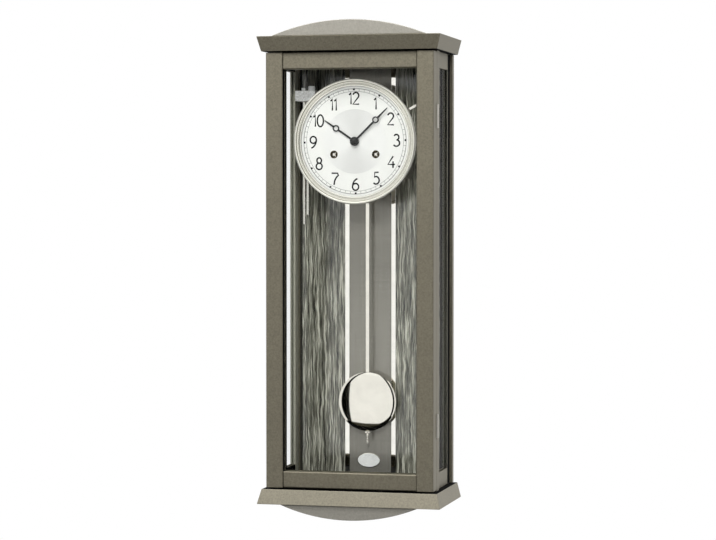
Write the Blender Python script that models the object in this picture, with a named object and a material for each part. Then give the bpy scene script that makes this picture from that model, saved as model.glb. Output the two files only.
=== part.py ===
"""Regulator wall clock with a glazed door, a free pendulum and a spring driven movement.

Metres, +Z up, the front faces -Y. The origin is the middle of the back board's rear face,
which lies on the wall. Every piece is one named object, placed from the sizes below.
"""

import math

import bmesh
import bpy
from mathutils import Matrix, Vector

# Fits
FIT = 0.0003
RUNNING = 0.00008
SLIDING = 0.0004

# Facets around a full turn
ROUND_LARGE = 48
ROUND_MEDIUM = 18
ROUND_SMALL = 14
ROUND_TINY = 12

# Case
CASE_WIDTH = 0.2280
CASE_HEIGHT = 0.5822
CASE_DEPTH = 0.1110
BACK_BOARD_THICKNESS = 0.0100
POST_WIDTH = 0.0160
POST_DEPTH = 0.0160
SIDE_INSET = 0.0035
SIDE_THICKNESS = 0.0080
SIDE_RAIL_HEIGHT = 0.0220
REAR_STILE_DEPTH = 0.0160
INNER_BOARD_THICKNESS = 0.0090
GLASS_THICKNESS = 0.0030
GLASS_BITE = 0.0040

# Cornice, plinth and the two bowed boards
CORNICE_HEIGHT = 0.0198
CORNICE_OVERHANG = 0.0054
CORNICE_FLARE = 0.0052
CORNICE_FRONT = 0.0034
BOW_THICKNESS = 0.0180
BOW_SETBACK = 0.0036
CREST_INSET = 0.0196
CREST_RISE = 0.0204
APRON_INSET = 0.0309
APRON_DROP = 0.0185
BOW_STEPS = 28

# Door
DOOR_SEAM = 0.0008
DOOR_THICKNESS = 0.0215
DOOR_GAP = 0.0019
DOOR_STILE_WIDTH = 0.0231
DOOR_RAIL_HEIGHT = 0.0220
DOOR_RAIL_SETBACK = 0.0022
DOOR_EDGE = 0.0012
DOOR_GLASS_SETBACK = 0.0115
HINGE_MARGIN = 0.0849
HINGE_LENGTH = 0.0315
HINGE_RADIUS = 0.0023
HINGE_PIN_RADIUS = 0.0011
HINGE_LEAF_WIDTH = 0.0110
HINGE_LEAF_THICKNESS = 0.0010

# Decor on the back board
PANEL_THICKNESS = 0.0017
PANEL_MARGIN = 0.0065
STRIP_CENTRE_X = 0.0325
STRIP_WIDTH = 0.0065

# Hanger on the back
HANGER_WIDTH = 0.0260
HANGER_HEIGHT = 0.0460
HANGER_THICKNESS = 0.0016
HANGER_DROP = 0.0460
HANGER_POCKET = 0.0065
KEYHOLE_RADIUS = 0.0050
KEYHOLE_SLOT = 0.0025
KEYHOLE_RUN = 0.0130

# Dial and bezel
DIAL_TOP_SPACE = 0.0274
DIAL_SETBACK = 0.0105
DIAL_THICKNESS = 0.0012
BEZEL_RADIUS = 0.0827
BEZEL_RISE = 0.0040
BEZEL_WIDTH = 0.0092
BEZEL_BEAD = 0.0046
BEZEL_BEAD_STEPS = 6
BEZEL_STEP_RISE = 0.0020
BEZEL_LIP_WIDTH = 0.0017
BEZEL_LIP_RISE = 0.0008
BEZEL_SEAT = 0.0028
WINDING_X = 0.0286
WINDING_DROP = 0.0173
WINDING_HOLE = 0.0046
DIAL_FOOT_RADIUS = 0.0020
DIAL_FOOT_X = 0.0300
DIAL_FOOT_RISE = 0.0420
DIAL_FOOT_DROP = 0.0440

# Movement plates
DIAL_SPACE = 0.0088
PLATE_THICKNESS = 0.0020
PILLAR_LENGTH = 0.0400
PILLAR_RADIUS = 0.0030
PILLAR_INSET = 0.0060
PILLAR_FOOT_INSET = 0.0085
PLATE_CORNER = 0.0100
PLATE_TOP_MARGIN = 0.0100
PLATE_TOP_HALF = 0.0420
PLATE_SHOULDER = 0.0120
PLATE_EDGE = 0.0030
BRACKET_THICKNESS = 0.0020
BRACKET_HEIGHT = 0.0360
BRACKET_LIFT = 0.0020

# Going train, offsets from the dial's centre
THIRD_X = -0.0100
THIRD_RISE = 0.0150
ANCHOR_RISE = 0.0470
GREAT_TEETH = 56
PINION_LEAVES = 7
TRAIN_TEETH = 56
ESCAPE_TEETH = 44
ESCAPE_RADIUS = 0.0120
ESCAPE_TOOTH_DEPTH = 0.0017
ARBOR_RADIUS = 0.0013
PIVOT_RADIUS = 0.0008
WHEEL_THICKNESS = 0.0020
TRAIN_WHEEL_THICKNESS = 0.0015
DRUM_SHARE = 0.76
DRUM_LENGTH = 0.0200
WINDING_ARBOR_RADIUS = 0.0040
WINDING_NECK_RADIUS = 0.0028
WINDING_SQUARE = 0.0034
RATCHET_TEETH = 24
RATCHET_RADIUS = 0.0090
RATCHET_TOOTH_DEPTH = 0.0011
ANCHOR_THICKNESS = 0.0025
PALLET_CLEARANCE = 0.0013
PALLET_WIDTH = 0.0020
PALLET_ANGLE = 32.0
ANCHOR_ARM = 0.0030
ANCHOR_HUB = 0.0028

# Motion work under the dial
MOTION_DISTANCE = 0.0115
CANNON_LEAVES = 12
MINUTE_WHEEL_TEETH = 36
MINUTE_PINION_LEAVES = 10
HOUR_WHEEL_TEETH = 40
CANNON_PIPE_RADIUS = 0.0016
HOUR_PIPE_RADIUS = 0.0026
CENTRE_TIP_RADIUS = 0.0009

# Tooth forms: addendum, dedendum, half tip and half root as a share of the pitch
WHEEL_TOOTH = (1.0, 1.3, 0.10, 0.25)
PINION_TOOTH = (0.8, 1.3, 0.11, 0.20)
SAW_BACK_SHARE = 0.9

# Hands
HAND_THICKNESS = 0.0006
HAND_SPACE = 0.0010
MINUTE_HAND_LENGTH = 0.0630
MINUTE_RING_AT = 0.0405
HOUR_HAND_LENGTH = 0.0496
HOUR_RING_AT = 0.0310
HAND_BOSS_RADIUS = 0.0055
HAND_RING_RADIUS = 0.0042
HAND_RING_HOLE = 0.0027
HAND_HALF_WIDTH = 0.0011
HAND_TIP = 0.0002
MINUTE_ANGLE = 45.5
HOUR_ANGLE = 303.8

# Pendulum
PENDULUM_STANDOFF = 0.0160
ROD_WIDTH = 0.0046
ROD_THICKNESS = 0.0015
SPRING_WIDTH = 0.0060
SPRING_THICKNESS = 0.0004
SPRING_LENGTH = 0.0140
CHOP_HEIGHT = 0.0060
SUSPENSION_PIN = 0.0009
BOB_RADIUS = 0.0393
BOB_FLOOR_SPACE = 0.0631
BOB_FRONT = 0.0090
BOB_BACK = 0.0065
BOB_EDGE = 0.0050
BOB_CROWN_SHARE = 0.96
BOB_BACK_SHARE = 0.80
BOB_STEPS = 6
THREAD_RADIUS = 0.0013
THREAD_LENGTH = 0.0187
NUT_RADIUS = 0.0032
NUT_HEIGHT = 0.0036
NUT_KNURLS = 16
NUT_KNURL_DEPTH = 0.0002
COCK_HALF_WIDTH = 0.0045
COCK_HEAD = 0.0075
COCK_CHEEK = 0.0032
CRUTCH_LENGTH = 0.0520
CRUTCH_HALF_WIDTH = 0.0012
CRUTCH_THICKNESS = 0.0015

# Gong, hammers and the silencing lever
GONG_BLOCK_INSET = 0.0225
GONG_BLOCK_WIDTH = 0.0280
GONG_BLOCK_HEIGHT = 0.0140
GONG_BLOCK_RISE = 0.0633
GONG_ROD_OFFSET = -0.0030
GONG_ROD_RADIUS = 0.0017
GONG_ROD_SOCKET = 0.0080
LONG_ROD_DROP = 0.1107
SHORT_ROD_DROP = 0.0977
HAMMER_PIVOT_X = -0.0500
HAMMER_PIVOT_RISE = 0.0000
HAMMER_HEAD_RISE = 0.0330
HAMMER_HEAD_RADIUS = 0.0040
HAMMER_HEAD_LENGTH = 0.0090
HAMMER_REST_GAP = 0.0010
HAMMER_ARM_WIDTH = 0.0030
HAMMER_HUB_RADIUS = 0.0033
HAMMER_STUD_RADIUS = 0.0015
HAMMER_REAR_STEP = 0.0140
LEVER_PIVOT_X = 0.0450
LEVER_PIVOT_RISE = 0.0270
LEVER_TIP_X = 0.0822
LEVER_TIP_RISE = 0.0473
LEVER_WIDTH = 0.0030
LEVER_BALL = 0.0021
LEVER_STUD_SHARE = 0.75

# Depths, all from the wall at zero towards the front
HALF_W = CASE_WIDTH / 2
HALF_H = CASE_HEIGHT / 2
POST_FRONT_Y = -CASE_DEPTH
POST_REAR_Y = POST_FRONT_Y + POST_DEPTH
BOARD_FRONT_Y = -BACK_BOARD_THICKNESS
STILE_REAR_Y = BOARD_FRONT_Y - FIT
STILE_FRONT_Y = STILE_REAR_Y - REAR_STILE_DEPTH
PANEL_REAR_Y = BOARD_FRONT_Y - FIT
PANEL_FRONT_Y = PANEL_REAR_Y - PANEL_THICKNESS
DOOR_REAR_Y = POST_FRONT_Y - DOOR_SEAM
DOOR_FRONT_Y = DOOR_REAR_Y - DOOR_THICKNESS
CORNICE_NEAR_Y = DOOR_FRONT_Y - CORNICE_FRONT
CORNICE_FAR_Y = CORNICE_NEAR_Y - CORNICE_FLARE
BOW_FRONT_Y = CORNICE_FAR_Y + BOW_SETBACK
DIAL_FRONT_Y = POST_FRONT_Y + DIAL_SETBACK
DIAL_REAR_Y = DIAL_FRONT_Y + DIAL_THICKNESS
FRONT_PLATE_Y = DIAL_REAR_Y + DIAL_SPACE
FRONT_INNER_Y = FRONT_PLATE_Y + PLATE_THICKNESS
BACK_INNER_Y = FRONT_INNER_Y + PILLAR_LENGTH
BACK_PLATE_Y = BACK_INNER_Y + PLATE_THICKNESS
PENDULUM_Y = PANEL_FRONT_Y - PENDULUM_STANDOFF

# Widths and heights that several pieces share
SIDE_OUTER_X = HALF_W - SIDE_INSET
SIDE_INNER_X = SIDE_OUTER_X - SIDE_THICKNESS
SIDE_GLASS_X = (SIDE_OUTER_X + SIDE_INNER_X) / 2
GROOVE_HALF = GLASS_THICKNESS / 2 + FIT
POST_INNER_X = HALF_W - POST_WIDTH
PANEL_OUTER_X = SIDE_INNER_X - PANEL_MARGIN
CORNICE_NEAR_X = HALF_W + CORNICE_OVERHANG
CORNICE_FAR_X = CORNICE_NEAR_X + CORNICE_FLARE
GONG_BLOCK_X = GONG_BLOCK_INSET - SIDE_INNER_X
GONG_ROD_X = GONG_BLOCK_X + GONG_ROD_OFFSET
PIECE_TOP = HALF_H - FIT
FLOOR_Z = HALF_H - INNER_BOARD_THICKNESS
DOOR_TOP = HALF_H - DOOR_GAP
DOOR_INNER_X = HALF_W - DOOR_STILE_WIDTH
HINGE_HEIGHT = DOOR_TOP - HINGE_MARGIN
DIAL_HEIGHT = FLOOR_Z - DIAL_TOP_SPACE - BEZEL_RADIUS
PIVOT_Z = DIAL_HEIGHT + ANCHOR_RISE
BOB_Z = BOB_FLOOR_SPACE + BOB_RADIUS - FLOOR_Z
BOB_BOTTOM = BOB_Z - BOB_RADIUS

# Train layout worked out from the offsets above
BARREL_DISTANCE = math.hypot(WINDING_X, WINDING_DROP)
GREAT_MODULE = 2 * BARREL_DISTANCE / (GREAT_TEETH + PINION_LEAVES)
GREAT_RADIUS = GREAT_MODULE * GREAT_TEETH / 2
GREAT_TIP = GREAT_RADIUS + GREAT_MODULE * WHEEL_TOOTH[0]
TRAIN_DISTANCE = math.hypot(THIRD_X, THIRD_RISE)
TRAIN_MODULE = 2 * TRAIN_DISTANCE / (TRAIN_TEETH + PINION_LEAVES)
ESCAPE_RISE = 2 * THIRD_RISE
PLATE_HALF = WINDING_X + GREAT_TIP + PLATE_EDGE
PLATE_BOTTOM = WINDING_DROP + GREAT_TIP + PLATE_EDGE
PLATE_TOP = ANCHOR_RISE + PLATE_TOP_MARGIN
CANNON_MODULE = 2 * MOTION_DISTANCE / (CANNON_LEAVES + MINUTE_WHEEL_TEETH)
HOUR_MODULE = 2 * MOTION_DISTANCE / (MINUTE_PINION_LEAVES + HOUR_WHEEL_TEETH)

FINISHES = {
    "lacquer_grey": ((0.246, 0.219, 0.178), 0.38, 0.35),
    "lacquer_light": ((0.370, 0.352, 0.318), 0.38, 0.35),
    "lacquer_black": ((0.012, 0.011, 0.010), 0.55, 0.0),
    "veneer_dark": ((0.105, 0.096, 0.084), 0.40, 0.0),
    "panel_satin": ((0.270, 0.258, 0.232), 0.32, 0.55),
    "mirror_strip": ((0.900, 0.900, 0.890), 0.06, 1.0),
    "clear_glass": ((0.930, 0.950, 0.945), 0.02, 0.0),
    "nickel": ((0.780, 0.770, 0.740), 0.18, 1.0),
    "bezel_silver": ((0.860, 0.850, 0.815), 0.16, 1.0),
    "dial_silver": ((0.850, 0.845, 0.825), 0.45, 0.0),
    "hand_black": ((0.010, 0.010, 0.011), 0.35, 0.0),
    "brass": ((0.720, 0.530, 0.230), 0.28, 1.0),
    "steel": ((0.520, 0.520, 0.530), 0.25, 1.0),
    "steel_black": ((0.030, 0.030, 0.032), 0.45, 0.6),
    "cast_silver": ((0.550, 0.540, 0.510), 0.40, 0.9),
}


def clear_file():
    """Remove every object that the file starts with."""
    for item in list(bpy.data.objects):
        bpy.data.objects.remove(item, do_unlink=True)


def finish(slot):
    """Give back the surface of one finish, made the first time it is asked for."""
    surface = bpy.data.materials.get(slot)
    if surface is None:
        colour, roughness, metallic = FINISHES[slot]
        surface = bpy.data.materials.new(slot)
        surface.use_nodes = True
        shader = surface.node_tree.nodes["Principled BSDF"]
        shader.inputs["Base Color"].default_value = (*colour, 1.0)
        shader.inputs["Roughness"].default_value = roughness
        shader.inputs["Metallic"].default_value = metallic
        surface.diffuse_color = (*colour, 1.0)
    return surface


def solid(name, points, faces, slot):
    """Make one closed body from points and faces, with its faces turned outward."""
    mesh = bpy.data.meshes.new(name)
    mesh.from_pydata(points, [], faces)
    work = bmesh.new()
    work.from_mesh(mesh)
    bmesh.ops.recalc_face_normals(work, faces=work.faces)
    work.to_mesh(mesh)
    work.free()
    body = bpy.data.objects.new(name, mesh)
    bpy.context.scene.collection.objects.link(body)
    body.data.materials.append(finish(slot))
    return body


def prism(name, outline, axis, low, high, slot):
    """Draw a flat outline out along one axis, from low to high."""
    spread = {
        "X": lambda a, b, c: (c, a, b),
        "Y": lambda a, b, c: (a, c, b),
        "Z": lambda a, b, c: (a, b, c),
    }[axis]
    count = len(outline)
    points = [spread(a, b, level) for level in (low, high) for a, b in outline]
    faces = [tuple(range(count)), tuple(range(2 * count - 1, count - 1, -1))]
    for i in range(count):
        j = (i + 1) % count
        faces.append((i, j, count + j, count + i))
    return solid(name, points, faces, slot)


def box(name, x_span, y_span, z_span, slot):
    """Make a plain block from its three spans."""
    (x0, x1), (y0, y1) = sorted(x_span), sorted(y_span)
    outline = [(x0, y0), (x1, y0), (x1, y1), (x0, y1)]
    z0, z1 = sorted(z_span)
    return prism(name, outline, "Z", z0, z1, slot)


def turned(name, profile, slot, steps, axis="Y"):
    """Turn a profile of radius and place around one axis.

    A profile that starts and ends at radius zero gives a full body.
    Any other profile is closed on itself and gives a ring.
    """
    ends_on_axis = profile[0][0] == 0 and profile[-1][0] == 0
    points = []
    rows = []
    for radius, place in profile:
        row = []
        for k in range(steps if radius > 0 else 1):
            turn = 2 * math.pi * k / steps
            a, b = radius * math.cos(turn), radius * math.sin(turn)
            row.append(len(points))
            points.append({"Y": (a, place, b), "Z": (a, b, place), "X": (place, a, b)}[axis])
        rows.append(row)
    pairs = list(zip(rows, rows[1:]))
    if not ends_on_axis:
        pairs.append((rows[-1], rows[0]))
    faces = []
    for first, second in pairs:
        for k in range(steps):
            n = (k + 1) % steps
            if len(first) == 1:
                faces.append((first[0], second[k], second[n]))
            elif len(second) == 1:
                faces.append((first[k], first[n], second[0]))
            else:
                faces.append((first[k], first[n], second[n], second[k]))
    body = solid(name, points, faces, slot)
    smooth(body)
    return body


def rod(name, radius, low, high, slot, steps, axis="Y"):
    """Make a plain round bar."""
    profile = [(0, low), (radius, low), (radius, high), (0, high)]
    return turned(name, profile, slot, steps, axis)


def smooth(body, limit=35.0):
    """Shade round faces smooth and keep the hard edges."""
    for face in body.data.polygons:
        face.use_smooth = True
    body.data.set_sharp_from_angle(angle=math.radians(limit))


def combine(body, helpers, operation):
    """Work helpers into a body by one Boolean each, then drop the helpers."""
    for helper in helpers:
        step = body.modifiers.new(operation.lower(), "BOOLEAN")
        step.operation = operation
        step.solver = "EXACT"
        step.object = helper
    bpy.context.view_layer.update()
    graph = bpy.context.evaluated_depsgraph_get()
    result = bpy.data.meshes.new_from_object(body.evaluated_get(graph))
    body.modifiers.clear()
    result.materials.clear()
    result.materials.append(body.data.materials[0])
    for face in result.polygons:
        face.material_index = 0
    body.data = result
    for helper in helpers:
        bpy.data.objects.remove(helper, do_unlink=True)
    return body


def join(body, *helpers):
    """Make one body of several that run into each other."""
    return combine(body, helpers, "UNION")


def carve(body, *helpers):
    """Take helpers out of a body."""
    return combine(body, helpers, "DIFFERENCE")


def shift(body, x=0.0, y=0.0, z=0.0):
    """Move a helper's points before it is worked into another body."""
    body.data.transform(Matrix.Translation((x, y, z)))
    return body


def seat(body, place=None, parent=None):
    """Put a body's origin at a place without moving the body, and hang it on a parent."""
    if place is None:
        corners = [Vector(corner) for corner in body.bound_box]
        place = sum(corners, Vector()) / len(corners)
    place = Vector(place)
    body.data.transform(Matrix.Translation(-place))
    body.location = place
    if parent is not None:
        body.parent = parent
        body.location = place - parent.location
    return body


def pivot(name, place):
    """Mark a joint's axis with an empty."""
    mark = bpy.data.objects.new(name, None)
    bpy.context.scene.collection.objects.link(mark)
    mark.location = place
    return mark


def gear_outline(teeth, radius, module, tooth, phase=0.0):
    """Draw straight sided teeth with one tooth's middle at the phase angle."""
    addendum, dedendum, tip, root = tooth
    pitch = 2 * math.pi / teeth
    high = radius + addendum * module
    low = radius - dedendum * module
    outline = []
    for i in range(teeth):
        middle = phase + i * pitch
        for reach, share in ((low, -root), (high, -tip), (high, tip), (low, root)):
            angle = middle + share * pitch
            outline.append((reach * math.cos(angle), reach * math.sin(angle)))
    return outline


def saw_outline(teeth, radius, depth):
    """Draw ratchet teeth: a long back and a short radial face."""
    pitch = 2 * math.pi / teeth
    outline = []
    for i in range(teeth):
        angle = i * pitch
        outline.append((radius * math.cos(angle), radius * math.sin(angle)))
        fall = angle + SAW_BACK_SHARE * pitch
        outline.append(((radius - depth) * math.cos(fall), (radius - depth) * math.sin(fall)))
    return outline


def mesh_phase(direction, driver_phase, driver_teeth, driven_teeth):
    """Find the driven wheel's phase that puts its gap on the driver's tooth."""
    lead = driver_phase - direction
    return direction + math.pi - lead * driver_teeth / driven_teeth + math.pi / driven_teeth


def arc(radius, start, end, steps, centre=(0.0, 0.0)):
    """List points along an arc, both ends included."""
    points = []
    for k in range(steps + 1):
        angle = start + (end - start) * k / steps
        points.append((centre[0] + radius * math.cos(angle), centre[1] + radius * math.sin(angle)))
    return points


def bow_outline(half_chord, rise, base, up):
    """Draw a flat based bow that rises or hangs from the base line."""
    radius = (half_chord ** 2 + rise ** 2) / (2 * rise)
    half = math.asin(half_chord / radius)
    points = []
    for x, height in arc(radius, math.pi / 2 - half, math.pi / 2 + half, BOW_STEPS):
        points.append((x, base + up * max(height - (radius - rise), 0.0)))
    return points


def build_back():
    """Back board with its hanger, the decor panels and the bright strips."""
    wide, tall = (-HALF_W, HALF_W), (-PIECE_TOP, PIECE_TOP)
    board = box("back_board", wide, (0.0, BOARD_FRONT_Y), tall, "lacquer_grey")
    hanger_z = HALF_H - HANGER_DROP
    recess = HANGER_THICKNESS + 2 * FIT
    half_wide, half_high = HANGER_WIDTH / 2, HANGER_HEIGHT / 2
    reach = 2 * FIT
    plate_pocket = box(
        "plate_pocket",
        (-half_wide - FIT, half_wide + FIT),
        (reach, -recess),
        (hanger_z - half_high - FIT, hanger_z + half_high + FIT),
        "steel",
    )
    head_pocket = box(
        "head_pocket",
        (-KEYHOLE_RADIUS - reach, KEYHOLE_RADIUS + reach),
        (reach, -HANGER_POCKET),
        (hanger_z - KEYHOLE_RUN, hanger_z + KEYHOLE_RUN + KEYHOLE_RADIUS),
        "steel",
    )
    carve(board, plate_pocket, head_pocket)
    seat(board)

    hanger = box(
        "wall_hanger",
        (-half_wide, half_wide),
        (FIT - recess, -FIT),
        (hanger_z - half_high, hanger_z + half_high),
        "steel",
    )
    entry = rod("entry", KEYHOLE_RADIUS, -HANGER_POCKET, HANGER_POCKET, "steel", ROUND_MEDIUM)
    shift(entry, z=hanger_z - KEYHOLE_RUN / 2)
    slot_box = box(
        "slot",
        (-KEYHOLE_SLOT, KEYHOLE_SLOT),
        (-HANGER_POCKET, HANGER_POCKET),
        (hanger_z - KEYHOLE_RUN / 2, hanger_z + KEYHOLE_RUN),
        "steel",
    )
    carve(hanger, entry, slot_box)
    seat(hanger)

    strip_in = STRIP_CENTRE_X - STRIP_WIDTH / 2
    strip_out = STRIP_CENTRE_X + STRIP_WIDTH / 2
    depth = (PANEL_REAR_Y, PANEL_FRONT_Y)
    height = (-FLOOR_Z + FIT, FLOOR_Z - FIT)
    seat(box("centre_panel", (-strip_in + FIT, strip_in - FIT), depth, height, "panel_satin"))
    for side, label in ((-1, "left"), (1, "right")):
        seat(box(f"bright_strip_{label}", (side * strip_in, side * strip_out), depth, height, "mirror_strip"))
        span = (side * (strip_out + FIT), side * PANEL_OUTER_X)
        seat(box(f"veneer_panel_{label}", span, depth, height, "veneer_dark"))


def build_carcass():
    """Posts, stiles, side rails, side panes and the two inner boards."""
    half = GROOVE_HALF
    bite = GLASS_BITE + FIT
    post_y, stile_y = POST_REAR_Y, STILE_FRONT_Y
    for side, label in ((-1, "left"), (1, "right")):
        inner, outer, pane = side * POST_INNER_X, side * HALF_W, side * SIDE_GLASS_X
        edge = side * DOOR_EDGE
        post = [
            (inner, POST_FRONT_Y),
            (outer, POST_FRONT_Y),
            (outer, post_y - DOOR_EDGE),
            (outer - edge, post_y),
            (pane + side * half, post_y),
            (pane + side * half, post_y - bite),
            (pane - side * half, post_y - bite),
            (pane - side * half, post_y),
            (inner, post_y),
        ]
        body = prism(f"front_post_{label}", post, "Z", -PIECE_TOP, PIECE_TOP, "lacquer_grey")
        if side > 0:
            cut_hinge_seats(body, POST_FRONT_Y, 1)
        seat(body)

        wall_in, wall_out = side * SIDE_INNER_X, side * SIDE_OUTER_X
        stile = [
            (wall_in, STILE_REAR_Y),
            (wall_out, STILE_REAR_Y),
            (wall_out, stile_y),
            (pane + side * half, stile_y),
            (pane + side * half, stile_y + bite),
            (pane - side * half, stile_y + bite),
            (pane - side * half, stile_y),
            (wall_in, stile_y),
        ]
        seat(prism(f"rear_stile_{label}", stile, "Z", -PIECE_TOP, PIECE_TOP, "lacquer_black"))

        for up, place in ((1, "top"), (-1, "bottom")):
            low = up * (HALF_H - SIDE_RAIL_HEIGHT)
            rail = [
                (wall_in, up * PIECE_TOP),
                (wall_out, up * PIECE_TOP),
                (wall_out, low),
                (pane + side * half, low),
                (pane + side * half, low + up * bite),
                (pane - side * half, low + up * bite),
                (pane - side * half, low),
                (wall_in, low),
            ]
            span = (post_y + FIT, stile_y - FIT)
            seat(prism(f"side_rail_{place}_{label}", rail, "Y", *span, "lacquer_grey"))

        pane_z = HALF_H - SIDE_RAIL_HEIGHT + GLASS_BITE
        seat(
            box(
                f"side_glass_{label}",
                (pane - GLASS_THICKNESS / 2, pane + GLASS_THICKNESS / 2),
                (post_y - GLASS_BITE, stile_y + GLASS_BITE),
                (-pane_z, pane_z),
                "clear_glass",
            )
        )

    wide, narrow = SIDE_INNER_X - FIT, POST_INNER_X - FIT
    shoulder = POST_REAR_Y + FIT
    front, rear = POST_FRONT_Y, BOARD_FRONT_Y - FIT
    board = [
        (-narrow, front),
        (narrow, front),
        (narrow, shoulder),
        (wide, shoulder),
        (wide, rear),
        (-wide, rear),
        (-wide, shoulder),
        (-narrow, shoulder),
    ]
    seat(prism("top_board", board, "Z", FLOOR_Z, PIECE_TOP, "lacquer_black"))
    seat(prism("bottom_board", board, "Z", -PIECE_TOP, -FLOOR_Z, "lacquer_black"))


def build_mouldings():
    """Flared cornice and plinth, the bowed crest above and the bowed apron below."""
    near_x, far_x = CORNICE_NEAR_X, CORNICE_FAR_X
    for up, label in ((1, "cornice"), (-1, "plinth")):
        near_z, far_z = up * HALF_H, up * (HALF_H + CORNICE_HEIGHT)
        points = []
        for x, y, z in ((near_x, CORNICE_NEAR_Y, near_z), (far_x, CORNICE_FAR_Y, far_z)):
            points += [(-x, y, z), (x, y, z), (x, 0.0, z), (-x, 0.0, z)]
        faces = [(0, 1, 2, 3), (7, 6, 5, 4)]
        faces += [(i, (i + 1) % 4, 4 + (i + 1) % 4, 4 + i) for i in range(4)]
        seat(solid(label, points, faces, "lacquer_grey"))
    base = HALF_H + CORNICE_HEIGHT + FIT
    span = (BOW_FRONT_Y, BOW_FRONT_Y + BOW_THICKNESS)
    crest_bow = bow_outline(far_x - CREST_INSET, CREST_RISE, base, 1)
    crest = prism("crest", crest_bow, "Y", *span, "lacquer_light")
    smooth(crest)
    seat(crest)
    apron_bow = bow_outline(far_x - APRON_INSET, APRON_DROP, -base, -1)
    apron = prism("apron", apron_bow, "Y", *span, "lacquer_light")
    smooth(apron)
    seat(apron)


def hinge_axis():
    """Place of the door's hinge line, on the seam at the right hand edge."""
    return HALF_W, POST_FRONT_Y - DOOR_SEAM / 2


def cut_hinge_seats(body, face_y, inward):
    """Sink a seat for each hinge leaf and room for its knuckle into one face."""
    x, y = hinge_axis()
    half = HINGE_LENGTH / 2 + FIT
    sink = face_y + inward * (HINGE_LEAF_THICKNESS + FIT)
    tools = []
    for up in (-1, 1):
        z = up * HINGE_HEIGHT
        leaf = (x - HINGE_LEAF_WIDTH - FIT, x + HINGE_RADIUS)
        depth = (face_y - inward * DOOR_SEAM, sink)
        tools.append(box("leaf_seat", leaf, depth, (z - half, z + half), "steel"))
        room = rod("knuckle_room", HINGE_RADIUS + SLIDING, -half, half, "steel", ROUND_MEDIUM, "Z")
        tools.append(shift(room, x, y, z))
    carve(body, *tools)


def build_hinges(door):
    """Two lift off hinges: the case half carries the pin, the door half turns on it."""
    x, y = hinge_axis()
    half = HINGE_LENGTH / 2
    seam = DOOR_SEAM / 2
    bore = HINGE_PIN_RADIUS + RUNNING
    for up, label in ((1, "upper"), (-1, "lower")):
        z = up * HINGE_HEIGHT
        leaf_x = (x - HINGE_LEAF_WIDTH, x - HINGE_RADIUS / 2)
        low = rod(f"hinge_case_{label}", HINGE_RADIUS, -half, -FIT, "nickel", ROUND_MEDIUM, "Z")
        pin = rod("pin", HINGE_PIN_RADIUS, -half / 2, half - FIT, "nickel", ROUND_MEDIUM, "Z")
        join(low, pin)
        shift(low, x, y, z)
        leaf = box("leaf", leaf_x, (y + seam, y + seam + HINGE_LEAF_THICKNESS), (z - half, z - FIT), "nickel")
        tail = (x - HINGE_RADIUS, x)
        web = box("web", tail, (y + seam, y + seam + HINGE_LEAF_THICKNESS), (z - half, z - FIT), "nickel")
        join(low, web, leaf)
        smooth(low)
        seat(low, (x, y, z))

        high = rod(f"hinge_door_{label}", HINGE_RADIUS, FIT, half, "nickel", ROUND_MEDIUM, "Z")
        hole = rod("hole", bore, -half, 2 * half, "nickel", ROUND_MEDIUM, "Z")
        shift(high, x, y, z)
        door_y = (y - seam, y - seam - HINGE_LEAF_THICKNESS)
        leaf = box("leaf", leaf_x, door_y, (z + FIT, z + half), "nickel")
        web = box("web", tail, door_y, (z + FIT, z + half), "nickel")
        join(high, web, leaf)
        carve(high, shift(hole, x, y, z))
        smooth(high)
        seat(high, (x, y, z), door)


def build_door():
    """Stiles, set back rails and the pane, all hung on the hinge line."""
    x, y = hinge_axis()
    door = pivot("door_axis", (x, y, 0.0))
    pane_y = DOOR_FRONT_Y + DOOR_GLASS_SETBACK
    near, far = pane_y - GROOVE_HALF, pane_y + GROOVE_HALF
    bite = GLASS_BITE + FIT
    edge = DOOR_EDGE
    for side, label in ((-1, "left"), (1, "right")):
        inner, outer = side * DOOR_INNER_X, side * HALF_W
        stile = [
            (inner, DOOR_REAR_Y),
            (inner, far),
            (inner + side * bite, far),
            (inner + side * bite, near),
            (inner, near),
            (inner, DOOR_FRONT_Y + edge),
            (inner + side * edge, DOOR_FRONT_Y),
            (outer - side * edge, DOOR_FRONT_Y),
            (outer, DOOR_FRONT_Y + edge),
            (outer, DOOR_REAR_Y),
        ]
        body = prism(f"door_stile_{label}", stile, "Z", -DOOR_TOP, DOOR_TOP, "lacquer_grey")
        if side > 0:
            cut_hinge_seats(body, DOOR_REAR_Y, -1)
        seat(body, parent=door)
    front = DOOR_FRONT_Y + DOOR_RAIL_SETBACK
    for up, label in ((1, "top"), (-1, "bottom")):
        low = up * (DOOR_TOP - DOOR_RAIL_HEIGHT)
        rail = [
            (DOOR_REAR_Y, up * DOOR_TOP),
            (DOOR_REAR_Y, low),
            (far, low),
            (far, low + up * bite),
            (near, low + up * bite),
            (near, low),
            (front + edge, low),
            (front, low + up * edge),
            (front, up * (DOOR_TOP - edge)),
            (front + edge, up * DOOR_TOP),
        ]
        span = (-DOOR_INNER_X + FIT, DOOR_INNER_X - FIT)
        seat(prism(f"door_rail_{label}", rail, "X", *span, "lacquer_grey"), parent=door)
    wide = DOOR_INNER_X + GLASS_BITE
    tall = DOOR_TOP - DOOR_RAIL_HEIGHT + GLASS_BITE
    thick = (pane_y - GLASS_THICKNESS / 2, pane_y + GLASS_THICKNESS / 2)
    seat(box("door_glass", (-wide, wide), thick, (-tall, tall), "clear_glass"), parent=door)
    build_hinges(door)


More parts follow.
